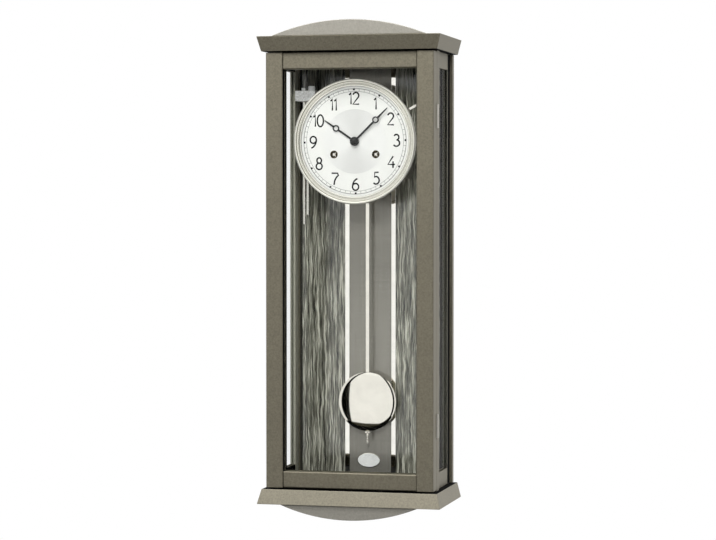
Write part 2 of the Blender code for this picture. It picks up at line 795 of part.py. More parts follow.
def build_dial():
    """Dial plate with its feet, and the stepped bezel that frames it."""
    lip = BEZEL_RADIUS - BEZEL_WIDTH
    rim = BEZEL_RADIUS - BEZEL_SEAT
    plate = turned(
        "dial_plate",
        [(0, DIAL_FRONT_Y), (rim - FIT, DIAL_FRONT_Y), (rim - FIT, DIAL_REAR_Y), (0, DIAL_REAR_Y)],
        "dial_silver",
        ROUND_LARGE,
    )
    foot_end = FRONT_PLATE_Y - FIT
    spots = ((-DIAL_FOOT_X, DIAL_FOOT_RISE), (DIAL_FOOT_X, DIAL_FOOT_RISE), (0.0, -DIAL_FOOT_DROP))
    feet = []
    for x, z in spots:
        foot = rod("foot", DIAL_FOOT_RADIUS, DIAL_REAR_Y - DIAL_THICKNESS / 2, foot_end, "brass", ROUND_TINY)
        feet.append(shift(foot, x, 0.0, z))
    join(plate, *feet)
    through = (DIAL_FRONT_Y - DIAL_THICKNESS, DIAL_REAR_Y + DIAL_THICKNESS)
    holes = [rod("hole", HOUR_PIPE_RADIUS + SLIDING, *through, "brass", ROUND_SMALL)]
    for side in (-1, 1):
        hole = rod("hole", WINDING_HOLE, *through, "brass", ROUND_MEDIUM)
        holes.append(shift(hole, side * WINDING_X, 0.0, -WINDING_DROP))
    carve(plate, *holes)
    smooth(plate)
    plate.location.z = DIAL_HEIGHT

    rear = DIAL_REAR_Y + DIAL_THICKNESS / 2
    step = DIAL_FRONT_Y - BEZEL_STEP_RISE
    half_bead = BEZEL_BEAD / 2
    bead_end = math.pi - math.asin(BEZEL_STEP_RISE / BEZEL_RISE)
    profile = [(BEZEL_RADIUS, rear)]
    for across, rise in arc(1.0, 0.0, bead_end, BEZEL_BEAD_STEPS):
        profile.append((BEZEL_RADIUS - half_bead + half_bead * across, DIAL_FRONT_Y - BEZEL_RISE * rise))
    profile += [
        (lip + BEZEL_LIP_WIDTH, step),
        (lip, DIAL_FRONT_Y - BEZEL_LIP_RISE),
        (lip, DIAL_FRONT_Y - FIT),
        (rim, DIAL_FRONT_Y - FIT),
        (rim, rear),
    ]
    bezel = turned("dial_bezel", profile, "bezel_silver", ROUND_LARGE)
    bezel.location.z = DIAL_HEIGHT


def plate_outline():
    """Outline shared by both movement plates, wide at the barrels, cut off at the feet and narrow above."""
    return [
        (-PLATE_HALF, PLATE_CORNER - PLATE_BOTTOM),
        (PLATE_CORNER - PLATE_HALF, -PLATE_BOTTOM),
        (PLATE_HALF - PLATE_CORNER, -PLATE_BOTTOM),
        (PLATE_HALF, PLATE_CORNER - PLATE_BOTTOM),
        (PLATE_HALF, PLATE_SHOULDER),
        (PLATE_TOP_HALF, PLATE_TOP),
        (-PLATE_TOP_HALF, PLATE_TOP),
        (-PLATE_HALF, PLATE_SHOULDER),
    ]


def pivot_holes(low, high):
    """Holes for the train's pivots, the same in both plates."""
    spots = ((0.0, 0.0), (THIRD_X, THIRD_RISE), (0.0, ESCAPE_RISE), (0.0, ANCHOR_RISE))
    tools = []
    for x, z in spots:
        wide = ARBOR_RADIUS if x == 0.0 and z in (0.0, ANCHOR_RISE) else PIVOT_RADIUS
        tools.append(shift(rod("hole", wide + RUNNING, low, high, "brass", ROUND_TINY), x, 0.0, z))
    return tools


def build_plates():
    """Front and back plate with their studs and pillars, and the bracket that holds them."""
    front = prism("front_plate", plate_outline(), "Y", FRONT_PLATE_Y, FRONT_INNER_Y, "brass")
    middle = (FRONT_PLATE_Y + FRONT_INNER_Y) / 2
    stud = rod("stud", PIVOT_RADIUS, DIAL_REAR_Y - DIAL_THICKNESS, middle, "steel", ROUND_TINY)
    stud.data.transform(Matrix.Translation((0.0, FIT + DIAL_THICKNESS, MOTION_DISTANCE)))
    lever_end = FRONT_PLATE_Y - DIAL_SPACE * LEVER_STUD_SHARE
    lever_stud = rod("stud", HAMMER_STUD_RADIUS, lever_end, middle, "steel", ROUND_TINY)
    shift(lever_stud, LEVER_PIVOT_X, 0.0, LEVER_PIVOT_RISE)
    join(front, stud, lever_stud)
    through = (FRONT_PLATE_Y - PLATE_THICKNESS, FRONT_INNER_Y + PLATE_THICKNESS)
    tools = pivot_holes(*through)
    for side in (-1, 1):
        neck = rod("hole", WINDING_NECK_RADIUS + RUNNING, *through, "brass", ROUND_MEDIUM)
        tools.append(shift(neck, side * WINDING_X, 0.0, -WINDING_DROP))
    carve(front, *tools)
    front.location.z = DIAL_HEIGHT

    back = prism("back_plate", plate_outline(), "Y", BACK_INNER_Y, BACK_PLATE_Y, "brass")
    middle = (BACK_INNER_Y + BACK_PLATE_Y) / 2
    low_x, high_x = PLATE_HALF - PILLAR_FOOT_INSET, PLATE_TOP_HALF - PILLAR_INSET
    low_z, high_z = PILLAR_FOOT_INSET - PLATE_BOTTOM, PLATE_TOP - PILLAR_INSET
    parts = []
    for x, z in ((-low_x, low_z), (low_x, low_z), (-high_x, high_z), (high_x, high_z)):
        pillar = rod("pillar", PILLAR_RADIUS, FRONT_INNER_Y + FIT, middle, "brass", ROUND_TINY)
        parts.append(shift(pillar, x, 0.0, z))
    near, far = hammer_planes()
    beyond = 2 * HAMMER_ARM_WIDTH / 3
    stud = rod("stud", HAMMER_STUD_RADIUS, near - beyond, far + beyond, "steel", ROUND_TINY)
    parts.append(shift(stud, HAMMER_PIVOT_X, 0.0, HAMMER_PIVOT_RISE))
    join(back, *parts)
    through = (BACK_INNER_Y - PLATE_THICKNESS, BACK_PLATE_Y + PLATE_THICKNESS)
    tools = pivot_holes(*through)
    for side in (-1, 1):
        hole = rod("hole", ARBOR_RADIUS + RUNNING, *through, "brass", ROUND_TINY)
        tools.append(shift(hole, side * WINDING_X, 0.0, -WINDING_DROP))
    carve(back, *tools)
    back.location.z = DIAL_HEIGHT

    reach_front, reach_rear = BACK_PLATE_Y + FIT, PANEL_FRONT_Y - FIT
    web = reach_rear - BRACKET_THICKNESS
    outer, inner = PLATE_HALF - PLATE_EDGE, PLATE_HALF - PLATE_EDGE - BRACKET_THICKNESS
    flange = reach_front + BRACKET_THICKNESS
    tab = inner - 4 * BRACKET_THICKNESS
    outline = [
        (-outer, reach_rear),
        (-outer, reach_front),
        (-tab, reach_front),
        (-tab, flange),
        (-inner, flange),
        (-inner, web),
        (inner, web),
        (inner, flange),
        (tab, flange),
        (tab, reach_front),
        (outer, reach_front),
        (outer, reach_rear),
    ]
    low = DIAL_HEIGHT - PLATE_BOTTOM + BRACKET_LIFT
    seat(prism("movement_bracket", outline, "Z", low, low + BRACKET_HEIGHT, "steel_black"))


def arbor(name, front, rear, slot="steel", front_pivot=PIVOT_RADIUS, rear_pivot=PIVOT_RADIUS):
    """Make an arbor with a pivot at each plate."""
    shoulder_front, shoulder_rear = FRONT_INNER_Y + FIT, BACK_INNER_Y - FIT
    profile = [
        (0, front),
        (front_pivot, front),
        (front_pivot, shoulder_front),
        (ARBOR_RADIUS, shoulder_front),
        (ARBOR_RADIUS, shoulder_rear),
        (rear_pivot, shoulder_rear),
        (rear_pivot, rear),
        (0, rear),
    ]
    if front_pivot == ARBOR_RADIUS:
        profile = [(0, front), (ARBOR_RADIUS, front)] + profile[4:]
    if rear_pivot == ARBOR_RADIUS:
        profile = profile[:-4] + [(ARBOR_RADIUS, rear), (0, rear)]
    return turned(name, profile, slot, ROUND_TINY)


def wheel(outline, low, high):
    """Make a flat toothed helper at one level."""
    return prism("wheel", outline, "Y", low, high, "brass")


def build_barrels():
    """Two spring barrels with their great wheels, each on a winding arbor."""
    drum = GREAT_RADIUS * DRUM_SHARE
    rear = BACK_INNER_Y - WHEEL_THICKNESS
    bore = WINDING_ARBOR_RADIUS + RUNNING
    to_centre = math.atan2(WINDING_DROP, -WINDING_X)
    phase = to_centre
    outline = gear_outline(GREAT_TEETH, GREAT_RADIUS, GREAT_MODULE, WHEEL_TOOTH, phase)
    drum_front = rear - WHEEL_THICKNESS - DRUM_LENGTH
    for side, label in ((1, "going"), (-1, "strike")):
        if side > 0:
            level = (rear - WHEEL_THICKNESS, rear)
            drum_span = (drum_front, rear - WHEEL_THICKNESS / 2)
        else:
            level = (drum_front - WHEEL_THICKNESS, drum_front)
            drum_span = (drum_front - WHEEL_THICKNESS / 2, rear - WHEEL_THICKNESS)
        barrel = rod(f"{label}_barrel", drum, *drum_span, "brass", ROUND_LARGE)
        join(barrel, wheel(outline, *level))
        carve(barrel, rod("bore", bore, drum_front - PILLAR_LENGTH, BACK_PLATE_Y, "brass", ROUND_MEDIUM))
        smooth(barrel)
        barrel.location = (side * WINDING_X, 0.0, DIAL_HEIGHT - WINDING_DROP)

        ratchet_y = (FRONT_PLATE_Y - PLATE_THICKNESS - FIT * 2, FRONT_PLATE_Y - FIT * 2)
        body_front = drum_front - 3 * WHEEL_THICKNESS
        profile = [
            (0, ratchet_y[0]),
            (WINDING_NECK_RADIUS, ratchet_y[0]),
            (WINDING_NECK_RADIUS, body_front),
            (WINDING_ARBOR_RADIUS, body_front),
            (WINDING_ARBOR_RADIUS, BACK_INNER_Y - FIT),
            (ARBOR_RADIUS, BACK_INNER_Y - FIT),
            (ARBOR_RADIUS, BACK_PLATE_Y),
            (0, BACK_PLATE_Y),
        ]
        post = turned(f"winding_arbor_{label}", profile, "steel", ROUND_MEDIUM)
        half = WINDING_SQUARE / 2
        square_front = DIAL_FRONT_Y + FIT
        square = box("square", (-half, half), (square_front, FRONT_PLATE_Y), (-half, half), "steel")
        saw = saw_outline(RATCHET_TEETH, RATCHET_RADIUS, RATCHET_TOOTH_DEPTH)
        ratchet = prism("ratchet", saw, "Y", ratchet_y[0] + FIT, ratchet_y[1] + FIT, "steel")
        join(post, square, ratchet)
        smooth(post)
        post.location = (side * WINDING_X, 0.0, DIAL_HEIGHT - WINDING_DROP)


def build_going_train():
    """Centre, third and escape wheel, meshed in turn from the going barrel."""
    to_centre = math.atan2(WINDING_DROP, -WINDING_X)
    centre_pinion_phase = mesh_phase(to_centre, to_centre, GREAT_TEETH, PINION_LEAVES)
    pinion_radius = GREAT_MODULE * PINION_LEAVES / 2
    train_pinion = TRAIN_MODULE * PINION_LEAVES / 2
    train_wheel = TRAIN_MODULE * TRAIN_TEETH / 2
    thick = TRAIN_WHEEL_THICKNESS

    centre_level = FRONT_INNER_Y + 6 * thick
    centre = arbor("centre_wheel", hand_levels()[3], BACK_PLATE_Y, "brass", front_pivot=CENTRE_TIP_RADIUS)
    pinion = gear_outline(PINION_LEAVES, pinion_radius, GREAT_MODULE, PINION_TOOTH, centre_pinion_phase)
    great_middle = BACK_INNER_Y - 1.5 * WHEEL_THICKNESS
    teeth = gear_outline(TRAIN_TEETH, train_wheel, TRAIN_MODULE, WHEEL_TOOTH)
    join(
        centre,
        wheel(pinion, great_middle - WHEEL_THICKNESS, great_middle + WHEEL_THICKNESS),
        wheel(teeth, centre_level, centre_level + thick),
    )
    centre.location = (0.0, 0.0, DIAL_HEIGHT)

    third_level = FRONT_INNER_Y + 2 * thick
    to_third = math.atan2(THIRD_RISE, THIRD_X)
    third_pinion_phase = mesh_phase(to_third, 0.0, TRAIN_TEETH, PINION_LEAVES)
    third = arbor("third_wheel", FRONT_PLATE_Y, BACK_PLATE_Y, "brass")
    pinion = gear_outline(PINION_LEAVES, train_pinion, TRAIN_MODULE, PINION_TOOTH, third_pinion_phase)
    join(
        third,
        wheel(pinion, centre_level - thick / 2, centre_level + 1.5 * thick),
        wheel(teeth, third_level, third_level + thick),
    )
    third.location = (THIRD_X, 0.0, DIAL_HEIGHT + THIRD_RISE)

    to_escape = math.atan2(ESCAPE_RISE - THIRD_RISE, -THIRD_X)
    escape_phase = mesh_phase(to_escape, 0.0, TRAIN_TEETH, PINION_LEAVES)
    escape_rear = BACK_INNER_Y - 4 * thick
    escape = arbor("escape_wheel", FRONT_PLATE_Y, BACK_PLATE_Y, "brass")
    pinion = gear_outline(PINION_LEAVES, train_pinion, TRAIN_MODULE, PINION_TOOTH, escape_phase)
    saw = saw_outline(ESCAPE_TEETH, ESCAPE_RADIUS, ESCAPE_TOOTH_DEPTH)
    join(
        escape,
        wheel(pinion, third_level - thick / 2, third_level + 1.5 * thick),
        wheel(saw, escape_rear - thick, escape_rear),
    )
    escape.location = (0.0, 0.0, DIAL_HEIGHT + ESCAPE_RISE)
    build_anchor(escape_rear - thick / 2)


def build_anchor(level):
    """Anchor over the escape wheel, with the crutch that reaches back to the pendulum."""
    crutch_y = BACK_PLATE_Y + 2 * CRUTCH_THICKNESS
    crutch_span = (crutch_y, crutch_y + CRUTCH_THICKNESS)
    anchor = arbor("anchor", FRONT_PLATE_Y, crutch_span[1], rear_pivot=ARBOR_RADIUS, front_pivot=ARBOR_RADIUS)
    drop = ESCAPE_RISE - ANCHOR_RISE
    reach = ESCAPE_RADIUS + PALLET_CLEARANCE
    slope = math.radians(PALLET_ANGLE)
    tip = (reach * math.cos(slope), drop + reach * math.sin(slope))
    heel = (tip[0] + PALLET_WIDTH, tip[1] + FIT)
    half = [
        (ANCHOR_HUB, ANCHOR_HUB),
        (heel[0] - FIT, heel[1] + ANCHOR_ARM + FIT),
        heel,
        tip,
        (tip[0] - PALLET_WIDTH / 2, tip[1] + ANCHOR_ARM),
        (ANCHOR_HUB, -ANCHOR_HUB),
    ]
    outline = half + [(-x, z) for x, z in reversed(half)]
    arms = prism("arms", outline, "Y", level - ANCHOR_THICKNESS / 2, level + ANCHOR_THICKNESS / 2, "steel")
    bar = box(
        "bar",
        (-CRUTCH_HALF_WIDTH, CRUTCH_HALF_WIDTH),
        crutch_span,
        (ARBOR_RADIUS * 2, -CRUTCH_LENGTH),
        "steel",
    )
    fork_in = ROD_WIDTH / 2 + SLIDING
    fork_out = fork_in + CRUTCH_THICKNESS
    fork_z = (-CRUTCH_LENGTH, -CRUTCH_LENGTH + 3 * CRUTCH_HALF_WIDTH)
    fork_end = PENDULUM_Y + ROD_THICKNESS
    fork = [
        (-fork_out, crutch_span[0]),
        (fork_out, crutch_span[0]),
        (fork_out, fork_end),
        (fork_in, fork_end),
        (fork_in, crutch_span[1]),
        (-fork_in, crutch_span[1]),
        (-fork_in, fork_end),
        (-fork_out, fork_end),
    ]
    join(anchor, arms, bar)
    join(anchor, shift(prism("fork", fork, "Z", *fork_z, "steel"), z=-FIT))
    anchor.location = (0.0, 0.0, PIVOT_Z)


def hand_levels():
    """Depths of the hour hand's front, the minute hand's front and the centre arbor's tip."""
    hour_rear = DIAL_FRONT_Y - HAND_SPACE
    hour_front = hour_rear - HAND_THICKNESS
    minute_front = hour_front - HAND_SPACE - HAND_THICKNESS
    return hour_rear, hour_front, minute_front, minute_front - 2 * HAND_THICKNESS


def hand(name, length, ring_at, bore, rear):
    """Cut a flat hand with a round boss, a slim stem, a ring and a point."""
    half = HAND_HALF_WIDTH
    boss = math.asin(half / HAND_BOSS_RADIUS)
    ring = math.asin(half / HAND_RING_RADIUS)
    centre, turn = (0.0, ring_at), math.pi / 2
    outline = arc(HAND_BOSS_RADIUS, turn + boss, 5 * turn - boss, ROUND_MEDIUM)
    outline += arc(HAND_RING_RADIUS, ring - turn, turn - ring, ROUND_TINY, centre)
    outline += [(HAND_TIP, length), (-HAND_TIP, length)]
    outline += arc(HAND_RING_RADIUS, turn + ring, 3 * turn - ring, ROUND_TINY, centre)
    body = prism(name, outline, "Y", rear - HAND_THICKNESS, rear, "hand_black")
    through = (rear - 3 * HAND_THICKNESS, rear + 2 * HAND_THICKNESS)
    eye = shift(rod("eye", HAND_RING_HOLE, *through, "hand_black", ROUND_SMALL), z=ring_at)
    carve(body, rod("bore", bore, *through, "hand_black", ROUND_SMALL), eye)
    body.location.z = DIAL_HEIGHT
    return body


def build_motion_work():
    """Cannon pinion, minute wheel and hour wheel, and the two hands on their pipes."""
    hour_rear, hour_front, minute_front, tip = hand_levels()
    base = FRONT_PLATE_Y - 2 * FIT
    thick = TRAIN_WHEEL_THICKNESS
    cannon_radius = CANNON_MODULE * CANNON_LEAVES / 2
    cannon = rod("cannon_pinion", CANNON_PIPE_RADIUS, minute_front, base, "brass", ROUND_SMALL)
    leaves = gear_outline(CANNON_LEAVES, cannon_radius, CANNON_MODULE, PINION_TOOTH, math.pi / 2)
    join(cannon, wheel(leaves, base - 1.6 * thick, base - FIT))
    carve(cannon, rod("bore", CENTRE_TIP_RADIUS + RUNNING, tip, FRONT_INNER_Y, "brass", ROUND_SMALL))
    cannon.location.z = DIAL_HEIGHT

    up = math.pi / 2
    minute_phase = mesh_phase(up, math.pi / 2, CANNON_LEAVES, MINUTE_WHEEL_TEETH)
    minute_radius = CANNON_MODULE * MINUTE_WHEEL_TEETH / 2
    pinion_radius = HOUR_MODULE * MINUTE_PINION_LEAVES / 2
    minute_level = base - 1.3 * thick
    minute_teeth = gear_outline(MINUTE_WHEEL_TEETH, minute_radius, CANNON_MODULE, WHEEL_TOOTH, minute_phase)
    minute = wheel(minute_teeth, minute_level, minute_level + thick)
    minute.name = "minute_wheel"
    hour_level = minute_level - 1.6 * thick
    small = gear_outline(MINUTE_PINION_LEAVES, pinion_radius, HOUR_MODULE, PINION_TOOTH, -math.pi / 2)
    join(minute, wheel(small, hour_level - 0.5 * thick, minute_level + thick / 2))
    carve(minute, rod("bore", PIVOT_RADIUS + RUNNING, tip, FRONT_INNER_Y, "brass", ROUND_TINY))
    minute.location = (0.0, 0.0, DIAL_HEIGHT + MOTION_DISTANCE)

    hour_radius = HOUR_MODULE * HOUR_WHEEL_TEETH / 2
    hour_phase = mesh_phase(-math.pi / 2, -math.pi / 2, MINUTE_PINION_LEAVES, HOUR_WHEEL_TEETH)
    hour = rod("hour_wheel", HOUR_PIPE_RADIUS, hour_front, hour_level + thick / 2, "brass", ROUND_SMALL)
    hour_teeth = gear_outline(HOUR_WHEEL_TEETH, hour_radius, HOUR_MODULE, WHEEL_TOOTH, hour_phase)
    join(hour, wheel(hour_teeth, hour_level - thick / 4, hour_level + 3 * thick / 4))
    carve(hour, rod("bore", CANNON_PIPE_RADIUS + RUNNING, tip, FRONT_INNER_Y, "brass", ROUND_SMALL))
    hour.location.z = DIAL_HEIGHT

    minute_bore, minute_rear = CANNON_PIPE_RADIUS + RUNNING, minute_front + HAND_THICKNESS
    minute_hand = hand("minute_hand", MINUTE_HAND_LENGTH, MINUTE_RING_AT, minute_bore, minute_rear)
    minute_hand.rotation_euler.y = math.radians(MINUTE_ANGLE)
    hour_hand = hand("hour_hand", HOUR_HAND_LENGTH, HOUR_RING_AT, HOUR_PIPE_RADIUS + RUNNING, hour_rear)
    hour_hand.rotation_euler.y = math.radians(HOUR_ANGLE)


def build_pendulum():
    """Cock on the back plate, and the rod with its spring, bob and rating nut."""
    cheek = SPRING_WIDTH / 2 + 2 * SLIDING
    inner_front, inner_rear = PENDULUM_Y - cheek, PENDULUM_Y + cheek
    outer_front, outer_rear = inner_front - COCK_CHEEK, inner_rear + COCK_CHEEK
    low, mid, high = PIVOT_Z - COCK_CHEEK, PIVOT_Z + COCK_CHEEK + SLIDING, PIVOT_Z + COCK_CHEEK + COCK_HEAD
    outline = [
        (BACK_PLATE_Y + FIT, mid + SLIDING),
        (BACK_PLATE_Y + FIT, high),
        (outer_rear, high),
        (outer_rear, low),
        (inner_rear, low),
        (inner_rear, mid),
        (inner_front, mid),
        (inner_front, low),
        (outer_front, low),
        (outer_front, mid + SLIDING),
    ]
    cock = prism("suspension_cock", outline, "X", -COCK_HALF_WIDTH, COCK_HALF_WIDTH, "brass")
    hole = rod("hole", SUSPENSION_PIN + RUNNING, outer_front - FIT, outer_rear + FIT, "brass", ROUND_SMALL)
    carve(cock, shift(hole, z=PIVOT_Z))
    seat(cock)

    swing = pivot("pendulum_axis", (0.0, PENDULUM_Y, PIVOT_Z))
    pin = rod("pendulum_rod", SUSPENSION_PIN, -cheek - COCK_CHEEK, cheek + COCK_CHEEK, "steel", ROUND_SMALL)
    half_spring = SPRING_WIDTH / 2
    chop_x = 2 * SUSPENSION_PIN
    head = box("head", (-chop_x, chop_x), (-half_spring, half_spring), (chop_x, -CHOP_HEIGHT), "brass")
    leaf = box(
        "leaf",
        (-SPRING_THICKNESS / 2, SPRING_THICKNESS / 2),
        (-half_spring + SLIDING, half_spring - SLIDING),
        (-CHOP_HEIGHT / 2, -CHOP_HEIGHT * 1.5 - SPRING_LENGTH),
        "steel",
    )
    foot_top = -CHOP_HEIGHT - SPRING_LENGTH
    foot_half = ROD_WIDTH / 2 - SLIDING / 2
    foot = box(
        "foot",
        (-foot_half, foot_half),
        (-half_spring + SLIDING / 2, half_spring - SLIDING / 2),
        (foot_top, foot_top - CHOP_HEIGHT),
        "brass",
    )
    rod_end = BOB_Z - PIVOT_Z
    stem = box(
        "stem",
        (-ROD_WIDTH / 2, ROD_WIDTH / 2),
        (-ROD_THICKNESS / 2, ROD_THICKNESS / 2),
        (foot_top - CHOP_HEIGHT / 2, rod_end),
        "nickel",
    )
    thread_end = BOB_BOTTOM - PIVOT_Z - THREAD_LENGTH
    thread = rod("thread", THREAD_RADIUS, thread_end, rod_end + CHOP_HEIGHT, "steel", ROUND_SMALL, "Z")
    join(pin, head, leaf, foot)
    join(pin, stem, thread)
    pin.data.materials[0] = finish("nickel")
    pin.parent = swing

    profile = [(0.0, -BOB_FRONT)]
    for k in range(1, BOB_STEPS + 1):
        share = k / BOB_STEPS
        crown = math.sqrt(1 - BOB_CROWN_SHARE * share ** 2)
        profile.append((BOB_RADIUS * share, -BOB_EDGE / 2 - (BOB_FRONT - BOB_EDGE / 2) * crown))
    profile += [(BOB_RADIUS, BOB_EDGE / 2), (BOB_RADIUS * BOB_BACK_SHARE, BOB_BACK), (0.0, BOB_BACK)]
    bob = turned("pendulum_bob", profile, "nickel", ROUND_LARGE)
    slot_x = ROD_WIDTH / 2 + SLIDING
    slot_y = THREAD_RADIUS + SLIDING
    room = (-BOB_RADIUS - BOB_EDGE, BOB_RADIUS + BOB_EDGE)
    carve(bob, box("slot", (-slot_x, slot_x), (-slot_y, slot_y), room, "nickel"))
    smooth(bob)
    bob.parent = swing
    bob.location.z = BOB_Z - PIVOT_Z

    nut_top = BOB_BOTTOM - PIVOT_Z - FIT
    knurl = saw_outline(NUT_KNURLS, NUT_RADIUS, NUT_KNURL_DEPTH)
    nut = prism("rating_nut", knurl, "Z", nut_top - NUT_HEIGHT, nut_top, "nickel")
    carve(nut, rod("bore", THREAD_RADIUS + RUNNING, thread_end, rod_end, "nickel", ROUND_SMALL, "Z"))
    nut.parent = swing


def hammer_planes():
    """Depths of the two hammer arms, one before and one behind the back plate."""
    return BACK_INNER_Y - FIT - HAMMER_ARM_WIDTH / 3, BACK_PLATE_Y + HAMMER_REAR_STEP


def build_strike():
    """Gong block with its rods, the two hammers and the silencing lever."""
    front_y, rear_y = hammer_planes()
    half_width = GONG_BLOCK_WIDTH / 2
    low = DIAL_HEIGHT + GONG_BLOCK_RISE - GONG_BLOCK_HEIGHT / 2
    block = box(
        "gong_block",
        (GONG_BLOCK_X - half_width, GONG_BLOCK_X + half_width),
        (front_y - 5 * GONG_ROD_RADIUS, PANEL_FRONT_Y - FIT),
        (low, low + GONG_BLOCK_HEIGHT),
        "cast_silver",
    )
    sockets = []
    for y in (front_y, rear_y):
        depth = (low - FIT, low + GONG_ROD_SOCKET)
        hole = rod("socket", GONG_ROD_RADIUS + FIT, *depth, "cast_silver", ROUND_TINY, "Z")
        sockets.append(shift(hole, GONG_ROD_X, y))
    carve(block, *sockets)
    seat(block)
    for y, drop, label in ((front_y, LONG_ROD_DROP, "long"), (rear_y, SHORT_ROD_DROP, "short")):
        span = (DIAL_HEIGHT - drop, low + GONG_ROD_SOCKET - FIT)
        bar = rod(f"gong_rod_{label}", GONG_ROD_RADIUS, *span, "steel", ROUND_TINY, "Z")
        seat(shift(bar, GONG_ROD_X, y))

    head_left = GONG_ROD_X + GONG_ROD_RADIUS + HAMMER_REST_GAP - HAMMER_PIVOT_X
    head_x = head_left + HAMMER_HEAD_LENGTH / 2
    head_z = HAMMER_HEAD_RISE - HAMMER_PIVOT_RISE
    length = math.hypot(head_x, head_z)
    lean = math.atan2(head_x, head_z)
    for y, label in ((front_y, "front"), (rear_y, "rear")):
        span = (y - HAMMER_ARM_WIDTH / 3, y + HAMMER_ARM_WIDTH / 3)
        hammer = rod(f"hammer_{label}", HAMMER_HUB_RADIUS, *span, "steel", ROUND_MEDIUM)
        arm = box("arm", (-HAMMER_ARM_WIDTH / 2, HAMMER_ARM_WIDTH / 2), span, (0.0, length), "steel")
        shift(arm, y=FIT / 3)
        arm.data.transform(Matrix.Rotation(lean, 4, "Y"))
        face = (head_left, head_left + HAMMER_HEAD_LENGTH)
        head = rod("head", HAMMER_HEAD_RADIUS, *face, "steel", ROUND_SMALL, "X")
        join(hammer, arm, shift(head, 0.0, y, head_z))
        through = (y - HAMMER_ARM_WIDTH, y + HAMMER_ARM_WIDTH)
        carve(hammer, rod("bore", HAMMER_STUD_RADIUS + RUNNING, *through, "steel", ROUND_TINY))
        hammer.location = (HAMMER_PIVOT_X, 0.0, DIAL_HEIGHT + HAMMER_PIVOT_RISE)

    span_x, span_z = LEVER_TIP_X - LEVER_PIVOT_X, LEVER_TIP_RISE - LEVER_PIVOT_RISE
    reach = math.hypot(span_x, span_z)
    level = FRONT_PLATE_Y - DIAL_SPACE / 2
    half = LEVER_WIDTH / 2
    lever = rod("strike_lever", LEVER_WIDTH, level - half / 2, level + half / 2, "steel", ROUND_MEDIUM)
    bar = box("bar", (-half, half), (level - half / 2, level + half / 2), (0.0, reach), "steel")
    shift(bar, y=FIT / 3)
    lean = math.atan2(span_x, span_z)
    bar.data.transform(Matrix.Rotation(lean, 4, "Y"))
    ball = [(radius, -place) for place, radius in arc(LEVER_BALL, 0.0, math.pi, 6)]
    ball[0] = (0, ball[0][1])
    ball[-1] = (0, ball[-1][1])
    knob = shift(turned("knob", ball, "steel", ROUND_TINY), span_x, level, span_z)
    join(lever, bar, knob)
    through = (level - LEVER_WIDTH, level + LEVER_WIDTH)
    carve(lever, rod("bore", HAMMER_STUD_RADIUS + RUNNING, *through, "steel", ROUND_TINY))
    lever.location = (LEVER_PIVOT_X, 0.0, DIAL_HEIGHT + LEVER_PIVOT_RISE)


def main():
    """Build the whole clock."""
    clear_file()
    build_back()
    build_carcass()
    build_mouldings()
    build_door()
    build_dial()
    build_plates()
    build_barrels()
    build_going_train()
    build_motion_work()
    build_pendulum()
    build_strike()


main()
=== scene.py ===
"""Dressed model of a regulator wall clock: fine pieces, finishes, soft light and camera.

Metres, +Z up, the front faces -Y, and the wall lies at zero depth behind the back board.
"""

import logging
import math
from abc import ABC, abstractmethod
from collections.abc import Iterable, Iterator, Sequence
from contextlib import contextmanager
from dataclasses import dataclass
from enum import Enum

import bpy
from mathutils import Matrix, Vector


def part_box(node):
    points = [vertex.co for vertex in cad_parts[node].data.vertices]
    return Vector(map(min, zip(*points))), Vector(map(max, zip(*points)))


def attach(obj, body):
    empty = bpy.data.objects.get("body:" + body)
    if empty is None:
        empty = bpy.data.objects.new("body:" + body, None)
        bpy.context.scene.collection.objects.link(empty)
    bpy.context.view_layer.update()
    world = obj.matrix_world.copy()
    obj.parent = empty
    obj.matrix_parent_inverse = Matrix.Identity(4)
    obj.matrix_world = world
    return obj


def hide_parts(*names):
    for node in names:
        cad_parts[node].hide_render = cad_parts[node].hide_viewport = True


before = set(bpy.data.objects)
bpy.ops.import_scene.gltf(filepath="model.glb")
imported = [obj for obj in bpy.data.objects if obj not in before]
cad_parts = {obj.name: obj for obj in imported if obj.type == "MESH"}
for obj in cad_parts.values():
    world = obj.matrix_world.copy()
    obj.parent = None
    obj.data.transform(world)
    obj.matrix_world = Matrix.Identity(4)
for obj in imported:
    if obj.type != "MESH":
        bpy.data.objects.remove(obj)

LOG = logging.getLogger("regulator")

Point = tuple[float, float, float]
Flat = tuple[float, float]
Colour = tuple[float, float, float]
Stops = Sequence[tuple[float, Colour]]
Piece = bpy.types.Object
Socket = bpy.types.NodeSocket

ORIGIN: Point = (0.0, 0.0, 0.0)
WHITE: Colour = (1.0, 1.0, 1.0)
DIAL_HEIGHT = 0.172
DIAL_CENTRE: Point = (0.0, 0.0, DIAL_HEIGHT)
# Most values of a soft noise lie in this range.
NOISE_SPAN: Flat = (0.3, 0.7)
# Room between a piece that is laid on and what carries it.
SEAT = 0.00005
# Points closer than this are made one.
WELD = 1e-6


def tone(red: int, green: int, blue: int) -> Colour:
    """Turn a colour as it looks on a screen, from 0 to 255, into linear light."""
    shares = (channel / 255 for channel in (red, green, blue))
    return tuple(c / 12.92 if c <= 0.04045 else ((c + 0.055) / 1.055) ** 2.4 for c in shares)


def shade(colour: Colour, factor: float) -> Colour:
    """Make a linear colour darker or lighter by a factor, up to white."""
    return tuple(min(channel * factor, 1.0) for channel in colour)


class Axis(Enum):
    """Line that a piece is turned around."""

    DEPTH = (0.0, 1.0, 0.0)
    HEIGHT = (0.0, 0.0, 1.0)

    def place(self, radius: float, along: float) -> Point:
        """Put one point of a profile into space, by its radius and its place along the line."""
        return (radius, along, 0.0) if self is Axis.DEPTH else (radius, 0.0, along)


